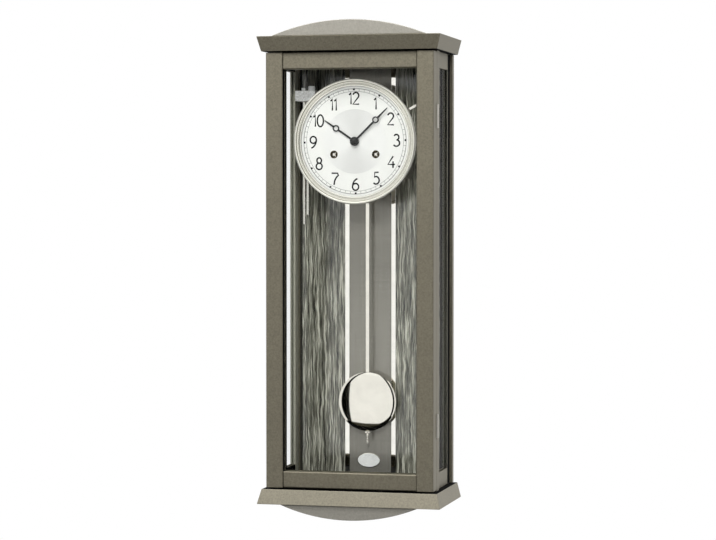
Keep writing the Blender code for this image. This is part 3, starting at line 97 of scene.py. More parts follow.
class Way(Enum):
    """Which way a face looks."""

    LEFT = (-1.0, 0.0, 0.0)
    RIGHT = (1.0, 0.0, 0.0)
    FRONT = (0.0, -1.0, 0.0)
    REAR = (0.0, 1.0, 0.0)
    DOWN = (0.0, 0.0, -1.0)
    UP = (0.0, 0.0, 1.0)


class Body(Enum):
    """Moving groups of the clock."""

    CASE = "case"
    DOOR = "door"
    MINUTE = "minute_group"
    HOUR = "hour_group"
    PENDULUM = "pendulum"
    BOB = "bob"
    NUT = "nut"


class NodeSheet:
    """One material or surround on the drawing board, with short calls for its nodes."""

    def __init__(self, owner: bpy.types.Material | bpy.types.World, coords: str = "Object") -> None:
        """Start the sheet of a material or a surround.

        Args:
            owner: Material or world that the sheet belongs to.
            coords: Which coordinates the patterns follow.
        """
        owner.use_nodes = True
        self.tree = owner.node_tree
        self.shader = self.tree.nodes.get("Principled BSDF") or self.tree.nodes["Background"]
        self.coords = self.tree.nodes.new("ShaderNodeTexCoord").outputs[coords]

    def node(self, kind: str, **inputs: object) -> bpy.types.Node:
        """Add a node and fill its inputs.

        Args:
            kind: Blender's name of the node.
            **inputs: Values or sockets by input name, with _ for a space.

        Returns:
            The new node.
        """
        made = self.tree.nodes.new(kind)
        for key, value in inputs.items():
            self.feed(made.inputs[key.replace("_", " ")], value)
        return made

    def feed(self, socket: Socket, value: object) -> None:
        """Link a socket into an input, or set the input's own value.

        Args:
            socket: Input to fill.
            value: Output socket, number, vector or colour.
        """
        if isinstance(value, Socket):
            self.tree.links.new(value, socket)
        elif isinstance(value, tuple) and socket.type == "RGBA":
            socket.default_value = (*value[:3], 1.0)
        else:
            socket.default_value = value

    def mapped(self, scale: Point, shift: Point = ORIGIN, vector: Socket | None = None) -> Socket:
        """Stretch and move coordinates, by default the piece's own."""
        source = vector or self.coords
        return self.node("ShaderNodeMapping", Vector=source, Scale=scale, Location=shift).outputs["Vector"]

    def noise(self, scale: float, detail: float = 2.0, vector: Socket | None = None) -> Socket:
        """Add a soft noise, with so many bumps in a metre and so many finer layers."""
        source = vector or self.coords
        return self.node("ShaderNodeTexNoise", Vector=source, Scale=scale, Detail=detail).outputs["Fac"]

    def span(self, value: Socket, source: Flat, target: Flat) -> Socket:
        """Move a value from one range into another.

        Args:
            value: Value socket.
            source: Lowest and highest value that comes in.
            target: What these become.

        Returns:
            The value socket, held inside the target range.
        """
        made = self.node("ShaderNodeMapRange", Value=value)
        for index, number in enumerate((*source, *target)):
            made.inputs[index + 1].default_value = number
        return made.outputs["Result"]

    def around(self, value: Socket, middle: float, below: float, above: float) -> Socket:
        """Let a noise move a number from somewhat below its middle to somewhat above it."""
        return self.span(value, NOISE_SPAN, (middle - below, middle + above))

    def ramp(self, value: Socket, stops: Stops) -> Socket:
        """Turn a value into a colour.

        Args:
            value: Value socket.
            stops: Places from 0 to 1 with their colours.

        Returns:
            The colour socket.
        """
        made = self.node("ShaderNodeValToRGB", Fac=value)
        band = made.color_ramp.elements
        while len(band) < len(stops):
            band.new(0.5)
        for stop, (place, colour) in zip(band, stops):
            stop.position = place
            stop.color = (*colour, 1.0)
        return made.outputs["Color"]

    def tinted(self, value: Socket, colour: Colour, factors: Flat) -> Socket:
        """Let a noise make a colour darker and lighter, between two factors."""
        stops = [(place, shade(colour, factor)) for place, factor in zip(NOISE_SPAN, factors)]
        return self.ramp(value, stops)

    def blend(self, share: object, first: object, second: object, mode: str = "MIX") -> Socket:
        """Lay one colour over another.

        Args:
            share: Number or socket, how much of the second is used.
            first: Colour below.
            second: Colour above.
            mode: Blender's name of the blend.

        Returns:
            The colour socket.
        """
        made = self.tree.nodes.new("ShaderNodeMix")
        made.data_type = "RGBA"
        made.blend_type = mode
        for index, value in ((0, share), (6, first), (7, second)):
            self.feed(made.inputs[index], value)
        return made.outputs[2]

    def reckon(self, kind: str, operation: str, *values: object) -> bpy.types.Node:
        """Add a node that reckons with numbers or vectors.

        Args:
            kind: Blender's name of the node.
            operation: Blender's name of the sum.
            *values: Values or sockets, in the order of its inputs.

        Returns:
            The new node.
        """
        made = self.tree.nodes.new(kind)
        made.operation = operation
        for socket, value in zip(made.inputs, values):
            self.feed(socket, value)
        return made

    def maths(self, operation: str, *values: object) -> Socket:
        """Reckon with numbers and give back the value socket."""
        return self.reckon("ShaderNodeMath", operation, *values).outputs["Value"]

    def mixed(self, first: Socket, second: Socket, share: float) -> Socket:
        """Add two values, the first by its share and the second by the rest."""
        rest = self.maths("MULTIPLY", second, 1.0 - share)
        return self.maths("MULTIPLY_ADD", first, share, rest)

    def radius(self, centre: Point, axis: Axis = Axis.DEPTH) -> Socket:
        """Measure how far a point lies from a line through a centre.

        Args:
            centre: Point on the line.
            axis: Direction of the line.

        Returns:
            The value socket, in metres.
        """
        keep = tuple(0.0 if step else 1.0 for step in axis.value)
        shift = tuple(-place * factor for place, factor in zip(centre, keep))
        return self.reckon("ShaderNodeVectorMath", "LENGTH", self.mapped(keep, shift)).outputs["Value"]

    def rings(self, centre: Point, pitch: float) -> Socket:
        """Draw fine turned lines around a centre.

        Args:
            centre: Point on the line that the piece was turned around.
            pitch: Distance between lines.

        Returns:
            The value socket, from 0 to 1.
        """
        made = self.node("ShaderNodeTexNoise", Scale=1.0 / pitch, Detail=3.0)
        made.noise_dimensions = "1D"
        self.feed(made.inputs["W"], self.radius(centre))
        return made.outputs["Fac"]

    def ray(self, *kinds: str) -> Socket:
        """Tell whether a ray is of a kind, or of one of two kinds.

        Args:
            *kinds: Blender's names of the kinds.

        Returns:
            The value socket, 1 for such a ray.
        """
        path = self.tree.nodes.new("ShaderNodeLightPath")
        found = [path.outputs[kind] for kind in kinds]
        return self.maths("MAXIMUM", *found) if len(found) > 1 else found[0]

    def cover(self, share: Socket, layer: Socket) -> None:
        """Lay a second surface over the shader's own.

        Args:
            share: How much of the second surface is used.
            layer: Second surface.
        """
        mixer = self.node("ShaderNodeMixShader", Fac=share)
        self.feed(mixer.inputs[1], self.shader.outputs["BSDF"])
        self.feed(mixer.inputs[2], layer)
        self.feed(self.tree.nodes["Material Output"].inputs["Surface"], mixer.outputs["Shader"])

    def bump(self, height: Socket, strength: float, distance: float) -> None:
        """Raise the surface by a pattern, with a height in metres."""
        made = self.node("ShaderNodeBump", Height=height, Strength=strength, Distance=distance)
        self.feed(self.shader.inputs["Normal"], made.outputs["Normal"])

    def settle(self, **values: object) -> None:
        """Fill inputs of the shader, by their names with _ for a space."""
        for key, value in values.items():
            self.feed(self.shader.inputs[key.replace("_", " ")], value)


@dataclass(frozen=True)
class Finish(ABC):
    """One surface finish, made as a material the first time it is used."""

    name: str
    slot: str

    @abstractmethod
    def paint(self, sheet: NodeSheet) -> None:
        """Draw the finish on a sheet.

        Args:
            sheet: Fresh sheet with the finish's name.
        """

    def surface(self) -> bpy.types.Material:
        """Find the finish's material, or make it.

        Returns:
            The material.
        """
        known = bpy.data.materials.get(self.name)
        if known is not None:
            return known
        material = bpy.data.materials.new(self.name)
        self.paint(NodeSheet(material))
        return material


@dataclass(frozen=True)
class Lacquer(Finish):
    """Metallic lacquer: fine flakes in a tinted coat with a faint orange peel."""

    colour: Colour = (0.2, 0.2, 0.2)
    contrast: float = 0.22
    metallic: float = 0.70
    roughness: float = 0.55
    gloss: float = 0.5

    def paint(self, sheet: NodeSheet) -> None:
        """Draw flakes, slow clouds and the peel of the coat.

        Args:
            sheet: Sheet to draw on.
        """
        flakes = sheet.mixed(sheet.noise(1500.0, 1.0), sheet.noise(430.0, 2.0), 0.4)
        low, high = 1.0 - self.contrast, 1.0 + self.contrast
        grain = sheet.ramp(
            flakes,
            ((0.34, shade(self.colour, low)), (0.50, self.colour), (0.66, shade(self.colour, high))),
        )
        cloud = sheet.span(sheet.noise(11.0, 3.0), NOISE_SPAN, (0.0, 0.14))
        sheet.settle(
            Base_Color=sheet.blend(cloud, grain, shade(self.colour, 0.55)),
            Metallic=self.metallic,
            Roughness=sheet.around(flakes, self.roughness, 0.06, 0.08),
            Specular_IOR_Level=self.gloss,
        )
        sheet.bump(sheet.noise(380.0, 2.0), 0.10, 0.0003)


@dataclass(frozen=True)
class Veneer(Finish):
    """Dark stained veneer with wavy upright grain."""

    dark: Colour = (0.02, 0.02, 0.02)
    middle: Colour = (0.08, 0.08, 0.07)
    light: Colour = (0.24, 0.24, 0.22)

    def paint(self, sheet: NodeSheet) -> None:
        """Draw wavy upright lines with finer fibres between them.

        Args:
            sheet: Sheet to draw on.
        """
        stir = sheet.node("ShaderNodeTexNoise", Vector=sheet.mapped((1.0, 1.0, 0.8)), Scale=64.0, Detail=2.0)
        sway = (stir.outputs["Color"], (0.0042, 0.0, 0.0), sheet.coords)
        bent = sheet.reckon("ShaderNodeVectorMath", "MULTIPLY_ADD", *sway)
        drawn = sheet.mapped((1.0, 0.2, 0.036), vector=bent.outputs["Vector"])
        grain = sheet.mixed(sheet.noise(600.0, 3.0, drawn), sheet.noise(1300.0, 2.0, drawn), 0.6)
        colour = sheet.ramp(
            grain,
            ((0.38, self.dark), (0.46, shade(self.middle, 0.54)), (0.53, self.middle), (0.62, self.light)),
        )
        sheet.settle(
            Base_Color=colour,
            Roughness=sheet.span(grain, NOISE_SPAN, (0.10, 0.18)),
            Specular_IOR_Level=0.9,
        )
        sheet.bump(grain, 0.04, 0.0002)


@dataclass(frozen=True)
class Satin(Finish):
    """Satin sheet with upright brush marks."""

    colour: Colour = (0.26, 0.25, 0.23)
    metallic: float = 0.55
    roughness: float = 0.36

    def paint(self, sheet: NodeSheet) -> None:
        """Draw long brush marks and a slow change of tone.

        Args:
            sheet: Sheet to draw on.
        """
        brush = sheet.noise(1300.0, 3.0, sheet.mapped((1.0, 1.0, 0.01)))
        weave = sheet.noise(700.0, 1.0, sheet.mapped((0.03, 1.0, 1.0)))
        marks = sheet.mixed(brush, weave, 0.7)
        sheet.settle(
            Base_Color=sheet.tinted(marks, self.colour, (0.86, 1.14)),
            Metallic=self.metallic,
            Roughness=sheet.around(marks, self.roughness, 0.05, 0.06),
        )
        sheet.bump(marks, 0.12, 0.0001)


@dataclass(frozen=True)
class Polished(Finish):
    """Bright metal with faint rubbing marks."""

    colour: Colour = (0.8, 0.8, 0.78)
    roughness: float = 0.07
    haze: float = 0.05

    def paint(self, sheet: NodeSheet) -> None:
        """Draw a soft haze and hair fine scratches in the polish.

        Args:
            sheet: Sheet to draw on.
        """
        cloud = sheet.noise(60.0, 4.0)
        hair = sheet.noise(1800.0, 2.0, sheet.mapped((1.0, 1.0, 0.05)))
        worn = sheet.maths("MULTIPLY", cloud, hair)
        sheet.settle(
            Base_Color=sheet.tinted(cloud, self.colour, (0.95, 1.03)),
            Metallic=1.0,
            Roughness=sheet.span(worn, (0.1, 0.45), (self.roughness, self.roughness + self.haze)),
        )


@dataclass(frozen=True)
class Turned(Finish):
    """Metal that keeps the fine rings of the lathe."""

    colour: Colour = (0.8, 0.8, 0.78)
    roughness: float = 0.2
    metallic: float = 1.0
    centre: Point = DIAL_CENTRE
    pitch: float = 0.0004
    fan: float = 0.0

    def paint(self, sheet: NodeSheet) -> None:
        """Draw rings around the centre, a slow change of tone and a painted reflection of a spun face,
        darker at top and bottom and lighter at the sides.

        Args:
            sheet: Sheet to draw on.
        """
        rings = sheet.rings(self.centre, self.pitch)
        mixed = sheet.mixed(rings, sheet.noise(70.0, 3.0), 0.75)
        colour = sheet.tinted(mixed, self.colour, (0.90, 1.06))
        # Painted reflection: the spun face's bow-tie sheen, as colour darkened at top and bottom.
        if self.fan:
            across = sheet.node("ShaderNodeSeparateXYZ", Vector=sheet.coords).outputs["X"]
            lean = sheet.maths("DIVIDE", across, sheet.radius(self.centre))
            upright = sheet.span(sheet.maths("MULTIPLY", lean, lean), (0.0, 0.8), (self.fan, 0.0))
            colour = sheet.blend(upright, colour, (0.0, 0.0, 0.0))
        sheet.settle(
            Base_Color=colour,
            Metallic=self.metallic,
            Roughness=sheet.around(mixed, self.roughness, 0.04, 0.08),
        )
        sheet.bump(rings, 0.05, 0.00008)


@dataclass(frozen=True)
class Banded(Finish):
    """Turned ring with bright polished bands and a duller brushed band between them, with its reflections
    and shade painted in by radius.
    """

    bands: Stops = ()
    reach: Flat = (0.0, 1.0)
    metallic: float = 1.0
    roughness: float = 0.24
    centre: Point = DIAL_CENTRE
    pitch: float = 0.0004

    def paint(self, sheet: NodeSheet) -> None:
        """Draw the bands by their radius, with the fine rings of the lathe over them; the bright bands are
        painted highlights, and the thin dark lines, the dark inner wall and the darker outer edge are
        painted shade.

        Args:
            sheet: Sheet to draw on.
        """
        across = sheet.span(sheet.radius(self.centre), self.reach, (0.0, 1.0))
        rings = sheet.rings(self.centre, self.pitch)
        lines = sheet.tinted(rings, WHITE, (0.92, 1.0))
        sheet.settle(
            Base_Color=sheet.blend(1.0, sheet.ramp(across, self.bands), lines, "MULTIPLY"),
            Metallic=self.metallic,
            Roughness=sheet.around(rings, self.roughness, 0.03, 0.06),
        )
        sheet.bump(rings, 0.02, 0.00004)


@dataclass(frozen=True)
class Plain(Finish):
    """Cast, plated or painted surface with a fine tooth and some unevenness."""

    colour: Colour = (0.5, 0.5, 0.5)
    roughness: float = 0.4
    metallic: float = 0.0
    tooth: float = 0.15
    grain: float = 900.0
    uneven: float = 0.18
    gloss: float = 0.5

    def paint(self, sheet: NodeSheet) -> None:
        """Draw a fine tooth over slow patches.

        Args:
            sheet: Sheet to draw on.
        """
        tooth = sheet.noise(self.grain, 3.0)
        mixed = sheet.mixed(tooth, sheet.noise(45.0, 3.0), 0.55)
        low, high = shade(self.colour, 1.0 - self.uneven), shade(self.colour, 1.0 + 0.78 * self.uneven)
        sheet.settle(
            Base_Color=sheet.ramp(mixed, ((0.34, low), (0.66, high))),
            Metallic=self.metallic,
            Roughness=sheet.around(mixed, self.roughness, 0.05, 0.10),
            Specular_IOR_Level=self.gloss,
        )
        sheet.bump(tooth, self.tooth, 0.0002)


@dataclass(frozen=True)
class Glass(Finish):
    """Clear pane that lets the lamps through."""

    colour: Colour = (0.985, 0.992, 0.988)
    bend: float = 1.05

    def paint(self, sheet: NodeSheet) -> None:
        """Mix a clear pane with a way through for light from lamps.

        Args:
            sheet: Sheet to draw on.
        """
        sheet.settle(Base_Color=self.colour, Roughness=0.0, IOR=self.bend, Transmission_Weight=1.0)
        clear = sheet.node("ShaderNodeBsdfTransparent", Color=(0.97, 0.98, 0.975))
        sheet.cover(sheet.ray("Is Shadow Ray", "Is Diffuse Ray"), clear.outputs["BSDF"])


class Finishes:
    """All finishes of the clock."""

    GREY = Lacquer("grey_metallic_lacquer", "lacquer_grey", colour=tone(117, 112, 97))
    # The plinth's grey lacquer in a lighter copy: painted light for the light that its upward leaning front
    # catches.
    PLINTH = Lacquer("plinth_lacquer_painted_lighter", "lacquer_grey", colour=tone(134, 129, 114))
    LIGHT = Lacquer("light_metallic_lacquer", "lacquer_light", colour=tone(152, 149, 140), contrast=0.12)
    BLACK = Lacquer(
        "black_lacquer_and_painted_shade",
        "lacquer_black",
        colour=tone(10, 10, 9),
        metallic=0.0,
        roughness=0.8,
        gloss=0.04,
    )
    # A lighter copy of the grey lacquer for the rear stiles: painted light that brightens faces the lamps
    # leave dim.
    INNER = Lacquer(
        "inner_lacquer_painted_lighter",
        "lacquer_grey",
        colour=tone(164, 162, 148),
        contrast=0.12,
        metallic=0.1,
        roughness=0.5,
        gloss=0.3,
    )
    # Dark lacquer for the bars beside the veneer panels: painted shadow of a shadow gap.
    REVEAL = Lacquer(
        "painted_shadow_gap_lacquer",
        "lacquer_black",
        colour=tone(44, 43, 38),
        metallic=0.0,
        roughness=0.6,
        gloss=0.2,
    )
    # A dark copy of the grey lacquer for the top and rear faces of the door's bottom rail: painted shade
    # over a lit rail top.
    LEDGE = Lacquer(
        "painted_shade_ledge_lacquer",
        "lacquer_grey",
        colour=tone(70, 67, 57),
        metallic=0.0,
        roughness=0.8,
        gloss=0.0,
    )
    VENEER = Veneer(
        "dark_wavy_veneer",
        "veneer_dark",
        dark=tone(36, 35, 30),
        middle=tone(121, 120, 108),
        light=tone(196, 194, 180),
    )
    PANEL = Satin(
        "satin_centre_panel",
        "panel_satin",
        colour=tone(139, 136, 128),
        metallic=0.43,
        roughness=0.2,
    )
    STRIP = Polished("bright_strip", "mirror_strip", colour=tone(250, 247, 240), roughness=0.02, haze=0.02)
    GLASS = Glass("clear_pane", "clear_glass")
    SIDE_GLASS = Glass("side_pane", "clear_glass", colour=(0.90, 0.905, 0.90), bend=1.02)
    NICKEL = Polished("polished_nickel", "nickel", colour=tone(238, 234, 224), roughness=0.05)
    # Bezel bands: bright bands are painted highlights; the thin dark lines, inner wall and outer edge are
    # painted shade.
    BEZEL = Banded(
        "bezel_silver_turned",
        "bezel_silver",
        bands=(
            (0.0, tone(58, 56, 50)),
            (0.02, tone(234, 232, 222)),
            (0.17, tone(232, 229, 218)),
            (0.205, tone(100, 97, 88)),
            (0.25, tone(205, 202, 191)),
            (0.42, tone(220, 217, 206)),
            (0.58, tone(202, 199, 187)),
            (0.625, tone(96, 93, 84)),
            (0.67, tone(240, 237, 226)),
            (0.93, tone(236, 233, 222)),
            (0.98, tone(150, 147, 136)),
        ),
        reach=(0.0735, 0.0839),
        metallic=0.6,
    )
    DIAL = Turned(
        "silvered_dial",
        "dial_silver",
        colour=tone(226, 225, 221),
        roughness=0.42,
        metallic=0.2,
        pitch=0.0006,
    )
    # The spun centre's darker top and bottom are a painted reflection.
    SPUN = Turned(
        "spun_dial_centre",
        "dial_silver",
        colour=tone(226, 225, 222),
        roughness=0.36,
        metallic=0.3,
        pitch=0.0003,
        fan=0.16,
    )
    INK = Plain(
        "dial_ink",
        "hand_black",
        colour=tone(24, 24, 25),
        roughness=0.7,
        tooth=0.05,
        grain=2500.0,
        gloss=0.08,
    )
    FAINT_INK = Plain(
        "faint_dial_ink",
        "hand_black",
        colour=tone(70, 69, 66),
        roughness=0.7,
        tooth=0.05,
        gloss=0.1,
    )
    HAND = Plain(
        "black_hand",
        "hand_black",
        colour=tone(44, 44, 44),
        roughness=0.4,
        tooth=0.04,
        grain=2500.0,
        gloss=0.3,
    )
    BRASS = Turned("train_brass", "brass", colour=tone(214, 180, 108), roughness=0.24)
    STEEL = Polished("train_steel", "steel", colour=tone(186, 186, 188), roughness=0.16, haze=0.12)
    BRACKET = Plain("dull_bracket", "steel_black", colour=tone(96, 94, 84), roughness=0.6, metallic=0.2)
    PLATE = Plain("dull_rear_plate", "brass", colour=tone(112, 108, 94), roughness=0.5, metallic=0.5)
    CAST = Plain(
        "silver_casting",
        "cast_silver",
        colour=tone(248, 246, 241),
        roughness=0.34,
        tooth=0.4,
        grain=460.0,
        uneven=0.42,
    )
    ROD = Polished("gong_rod_steel", "steel", colour=tone(212, 210, 202), roughness=0.14, haze=0.08)
    HINGE = Polished("satin_hinge_metal", "nickel", colour=tone(190, 187, 178), roughness=0.38, haze=0.12)
    EYELET = Plain(
        "bronze_eyelet",
        "brass",
        colour=tone(64, 56, 38),
        roughness=0.32,
        metallic=0.8,
        tooth=0.05,
    )
    ENAMEL = Plain(
        "silvered_plate",
        "dial_silver",
        colour=tone(255, 254, 250),
        roughness=0.25,
        tooth=0.04,
        gloss=1.0,
    )


class Bench:
    """Hand tools: each puts one new mesh on the bench and shapes it in place."""

    @staticmethod
    def clear() -> None:
        """Leave nothing selected."""
        if bpy.context.object and bpy.context.object.mode != "OBJECT":
            bpy.ops.object.mode_set(mode="OBJECT")
        bpy.ops.object.select_all(action="DESELECT")

    @staticmethod
    def take(piece: Piece) -> None:
        """Select one piece alone.

        Args:
            piece: Piece to work on.
        """
        Bench.clear()
        piece.select_set(True)
        bpy.context.view_layer.objects.active = piece

    @staticmethod
    @contextmanager
    def opened() -> Iterator[None]:
        """Open the active piece, all of it selected, and close it again.

        Yields:
            Nothing. The piece is open while the block under the call runs.
        """
        bpy.ops.object.mode_set(mode="EDIT")
        bpy.ops.mesh.select_all(action="SELECT")
        yield
        bpy.ops.object.mode_set(mode="OBJECT")

    @staticmethod
    def named(name: str) -> Piece:
        """Name the piece that was just added, and its mesh.

        Args:
            name: Name for both.

        Returns:
            The piece.
        """
        piece = bpy.context.object
        piece.name = name
        piece.data.name = name
        return piece

    @staticmethod
    def put(name: str, data: bpy.types.ID) -> Piece:
        """Put a new object into the scene.

        Args:
            name: Name of the object.
            data: Its mesh, curve, lamp or camera.

        Returns:
            The object.
        """
        made = bpy.data.objects.new(name, data)
        bpy.context.scene.collection.objects.link(made)
        return made

    @staticmethod
    def modify(piece: Piece, kind: str, **settings: object) -> None:
        """Add a modifier to a piece, set it and apply it.

        Args:
            piece: Piece to change.
            kind: Blender's name of the modifier.
            **settings: What it is set to.
        """
        Bench.take(piece)
        bpy.ops.object.modifier_add(type=kind)
        step = piece.modifiers[-1]
        for key, value in settings.items():
            setattr(step, key, value)
        bpy.ops.object.modifier_apply(modifier=step.name)

    @staticmethod
    def mend(piece: Piece) -> None:
        """Merge doubles, drop loose points and turn the faces outward.

        Args:
            piece: Piece to mend.
        """
        Bench.take(piece)
        with Bench.opened():
            bpy.ops.mesh.remove_doubles(threshold=WELD)
            bpy.ops.mesh.delete_loose()
            bpy.ops.mesh.select_all(action="SELECT")
            bpy.ops.mesh.normals_make_consistent(inside=False)

    @staticmethod
    def smooth(piece: Piece, limit: float = 35.0) -> Piece:
        """Shade round faces smooth and keep hard edges.

        Args:
            piece: Piece to shade.
            limit: Edge angle in degrees above which an edge stays hard.

        Returns:
            The same piece.
        """
        Bench.take(piece)
        bpy.ops.object.shade_smooth_by_angle(angle=math.radians(limit))
        return piece

    @staticmethod
    def ease(piece: Piece, width: float, segments: int = 3) -> Piece:
        """Round every hard edge and keep the flats flat.

        Args:
            piece: Piece to ease.
            width: Width of the rounding.
            segments: Number of steps across it.

        Returns:
            The same piece.
        """
        Bench.modify(
            piece,
            "BEVEL",
            width=width,
            segments=segments,
            limit_method="ANGLE",
            angle_limit=math.radians(30.0),
            use_clamp_overlap=False,
        )
        bpy.ops.object.shade_smooth()
        Bench.modify(piece, "WEIGHTED_NORMAL", weight=100)
        return piece

    @staticmethod
    def cut(piece: Piece, tools: Iterable[Piece]) -> Piece:
        """Cut tools out of a piece and put the tools away.

        Args:
            piece: Piece to cut.
            tools: Bodies that are taken out of it.

        Returns:
            The same piece.
        """
        for tool in tools:
            Bench.modify(piece, "BOOLEAN", operation="DIFFERENCE", solver="EXACT", object=tool)
            bpy.data.objects.remove(tool, do_unlink=True)
        return piece

    @staticmethod
    def block(name: str, low: Point, high: Point) -> Piece:
        """Add a squared block between two corners.

        Args:
            name: Name of the piece.
            low: Lowest corner.
            high: Highest corner.

        Returns:
            The block, with its place in its mesh.
        """
        Bench.clear()
        bpy.ops.mesh.primitive_cube_add(size=1.0)
        piece = Bench.named(name)
        size = Vector(high) - Vector(low)
        middle = (Vector(high) + Vector(low)) / 2
        with Bench.opened():
            bpy.ops.transform.resize(value=size, center_override=ORIGIN)
            bpy.ops.transform.translate(value=middle)
        return piece

    @staticmethod
    def drawn(name: str, corners: Sequence[Point], fill: str) -> Piece:
        """Draw a closed outline in space.

        Args:
            name: Name of the piece.
            corners: Its corners, going round.
            fill: Blender's name of what fills it.

        Returns:
            The outline.
        """
        Bench.clear()
        bpy.ops.mesh.primitive_circle_add(vertices=len(corners), radius=0.01, fill_type=fill)
        piece = Bench.named(name)
        for corner, place in zip(piece.data.vertices, corners):
            corner.co = place
        return piece

    @staticmethod
    def turned(
        name: str, profile: Sequence[Flat], centre: Point, steps: int, axis: Axis = Axis.DEPTH
    ) -> Piece:
        """Turn a closed profile around a line.

        Args:
            name: Name of the piece.
            profile: Radius and place of each point, going round.
            centre: Point that the line passes through.
            steps: Facets around the full turn.
            axis: Direction of the line.

        Returns:
            The turned piece, shaded smooth.
        """
        piece = Bench.drawn(name, [axis.place(radius, along) for radius, along in profile], "NOTHING")
        with Bench.opened():
            bpy.ops.mesh.spin(steps=steps, angle=math.tau, center=ORIGIN, axis=axis.value)
        Bench.mend(piece)
        piece.data.transform(Matrix.Translation(centre))
        return Bench.smooth(piece)

    @staticmethod
    def disc(name: str, spot: Flat, radius: float, depths: Flat, steps: int) -> Piece:
        """Turn a flat disc, which also serves as a drill.

        Args:
            name: Name of the piece.
            spot: Width and height of its middle.
            radius: Its radius.
            depths: Depths of its front and rear face.
            steps: Facets around it.

        Returns:
            The disc.
        """
        front, rear = depths
        profile = [(0.0, front), (radius, front), (radius, rear), (0.0, rear)]
        return Bench.turned(name, profile, (spot[0], 0.0, spot[1]), steps)

    @staticmethod
    def plate(name: str, outline: Sequence[Flat], front: float, thickness: float) -> Piece:
        """Draw a flat outline and extrude it towards the wall.

        Args:
            name: Name of the piece.
            outline: Width and height of each corner.
            front: Depth of the front face.
            thickness: Thickness of the plate.

        Returns:
            The plate.
        """
        piece = Bench.drawn(name, [(x, front, z) for x, z in outline], "NGON")
        with Bench.opened():
            bpy.ops.mesh.extrude_region_move(TRANSFORM_OT_translate={"value": (0.0, thickness, 0.0)})
        Bench.mend(piece)
        return piece

    @staticmethod
    def traced(name: str, paths: Iterable[Sequence[Flat]], pen: float, front: float, rise: float) -> Piece:
        """Draw pen strokes on an upright face.

        Args:
            name: Name of the piece.
            paths: Strokes, each a run of width and height.
            pen: Width of the pen.
            front: Depth of the face that is drawn on.
            rise: Height of the print over the face.

        Returns:
            The strokes as one flat mesh.
        """
        drawing = bpy.data.curves.new(name, "CURVE")
        drawing.dimensions = "3D"
        drawing.bevel_depth = pen / 2
        drawing.bevel_resolution = 2
        drawing.use_fill_caps = True
        for path in paths:
            closed = math.dist(path[0], path[-1]) < WELD
            points = path[:-1] if closed else path
            stroke = drawing.splines.new("POLY")
            stroke.points.add(len(points) - 1)
            for spot, (x, z) in zip(stroke.points, points):
                spot.co = (x, 0.0, z, 1.0)
            stroke.use_cyclic_u = closed
        Bench.take(Bench.put(name, drawing))
        bpy.ops.object.convert(target="MESH")
        piece = Bench.named(name)
        with Bench.opened():
            bpy.ops.transform.resize(value=(1.0, 2 * rise / pen, 1.0), center_override=ORIGIN)
            bpy.ops.transform.translate(value=(0.0, front, 0.0))
        return Bench.smooth(piece, 60.0)

    @staticmethod
    def eased_copy(node: str, width: float) -> Piece:
        """Copy a frame piece and round its edges.

        Args:
            node: Name of the frame piece.
            width: Width of the rounding.

        Returns:
            The eased copy.
        """
        piece = Bench.put(f"{node}_eased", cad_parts[node].data.copy())
        Bench.take(piece)
        with Bench.opened():
            bpy.ops.mesh.remove_doubles(threshold=WELD)
            bpy.ops.mesh.dissolve_limited(angle_limit=math.radians(1.0))
        return Bench.ease(piece, width)

    @staticmethod
    def joined(name: str, pieces: Sequence[Piece]) -> Piece:
        """Make one piece of several.

        Args:
            name: Name of the result.
            pieces: Pieces to join.

        Returns:
            The joined piece.
        """
        Bench.clear()
        for piece in pieces:
            piece.select_set(True)
        bpy.context.view_layer.objects.active = pieces[0]
        bpy.ops.object.join()
        return Bench.named(name)

    @staticmethod
    def copied(piece: Piece, name: str, matrix: Matrix) -> Piece:
        """Copy a piece with its own mesh and move the mesh.

        Args:
            piece: Piece to copy.
            name: Name of the copy.
            matrix: How the mesh is moved.

        Returns:
            The copy.
        """
        twin = Bench.put(name, piece.data.copy())
        twin.data.name = name
        twin.data.transform(matrix)
        return twin


def arc(centre: Flat, across: float, up: float, start: float, end: float, steps: int = 20) -> list[Flat]:
    """List points along an ellipse of a half width and half height, from one angle in degrees to another."""
    angles = (math.radians(start + (end - start) * k / steps) for k in range(steps + 1))
    return [(centre[0] + across * math.cos(a), centre[1] + up * math.sin(a)) for a in angles]


@dataclass(frozen=True)
class Facing:
    """A second finish for the flat faces of a piece that look certain ways."""

    finish: Finish
    ways: tuple[Way, ...]
    spread: float = 0.97
    deep: float = math.inf

    def takes(self, face: bpy.types.MeshPolygon) -> bool:
        """Tell whether a face takes the finish.

        Args:
            face: Face of the piece.

        Returns:
            True for a face that looks one of the ways, or forward from deeper than the given depth.
        """
        if face.normal.y < -self.spread and face.center.y > self.deep:
            return True
        return any(face.normal.dot(Vector(way.value)) > self.spread for way in self.ways)


def dress(
    piece: Piece,
    finish: Finish,
    body: Body = Body.CASE,
    replaces: Sequence[str] = (),
    facing: Facing | None = None,
) -> None:
    """Give a new piece its finish and hang it on its moving group.

    Args:
        piece: New piece.
        finish: Finish of its faces.
        body: Group that it moves with.
        replaces: Frame pieces that it stands for.
        facing: Second finish for faces that look certain ways.
    """
    piece.data.materials.clear()
    piece.data.materials.append(finish.surface())
    if facing:
        piece.data.materials.append(facing.finish.surface())
    for face in piece.data.polygons:
        face.material_index = int(facing is not None and facing.takes(face))
    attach(piece, body.value)
    if replaces:
        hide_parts(*replaces)
    LOG.info("made %s in %s on %s", piece.name, finish.name, body.value)


def refit(
    node: str, edge: float, finish: Finish, body: Body = Body.CASE, facing: Facing | None = None
) -> None:
    """Put a copy with rounded edges in the place of a frame piece and dress it."""
    dress(Bench.eased_copy(node, edge), finish, body, (node,), facing)


def coat(finish: Finish, *nodes: str) -> None:
    """Give frame pieces a finish.

    Args:
        finish: Finish of all their faces.
        *nodes: Names of the frame pieces.
    """
    for node in nodes:
        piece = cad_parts[node]
        for place in piece.material_slots:
            place.material = finish.surface()
        LOG.info("coated %s in %s", node, finish.name)


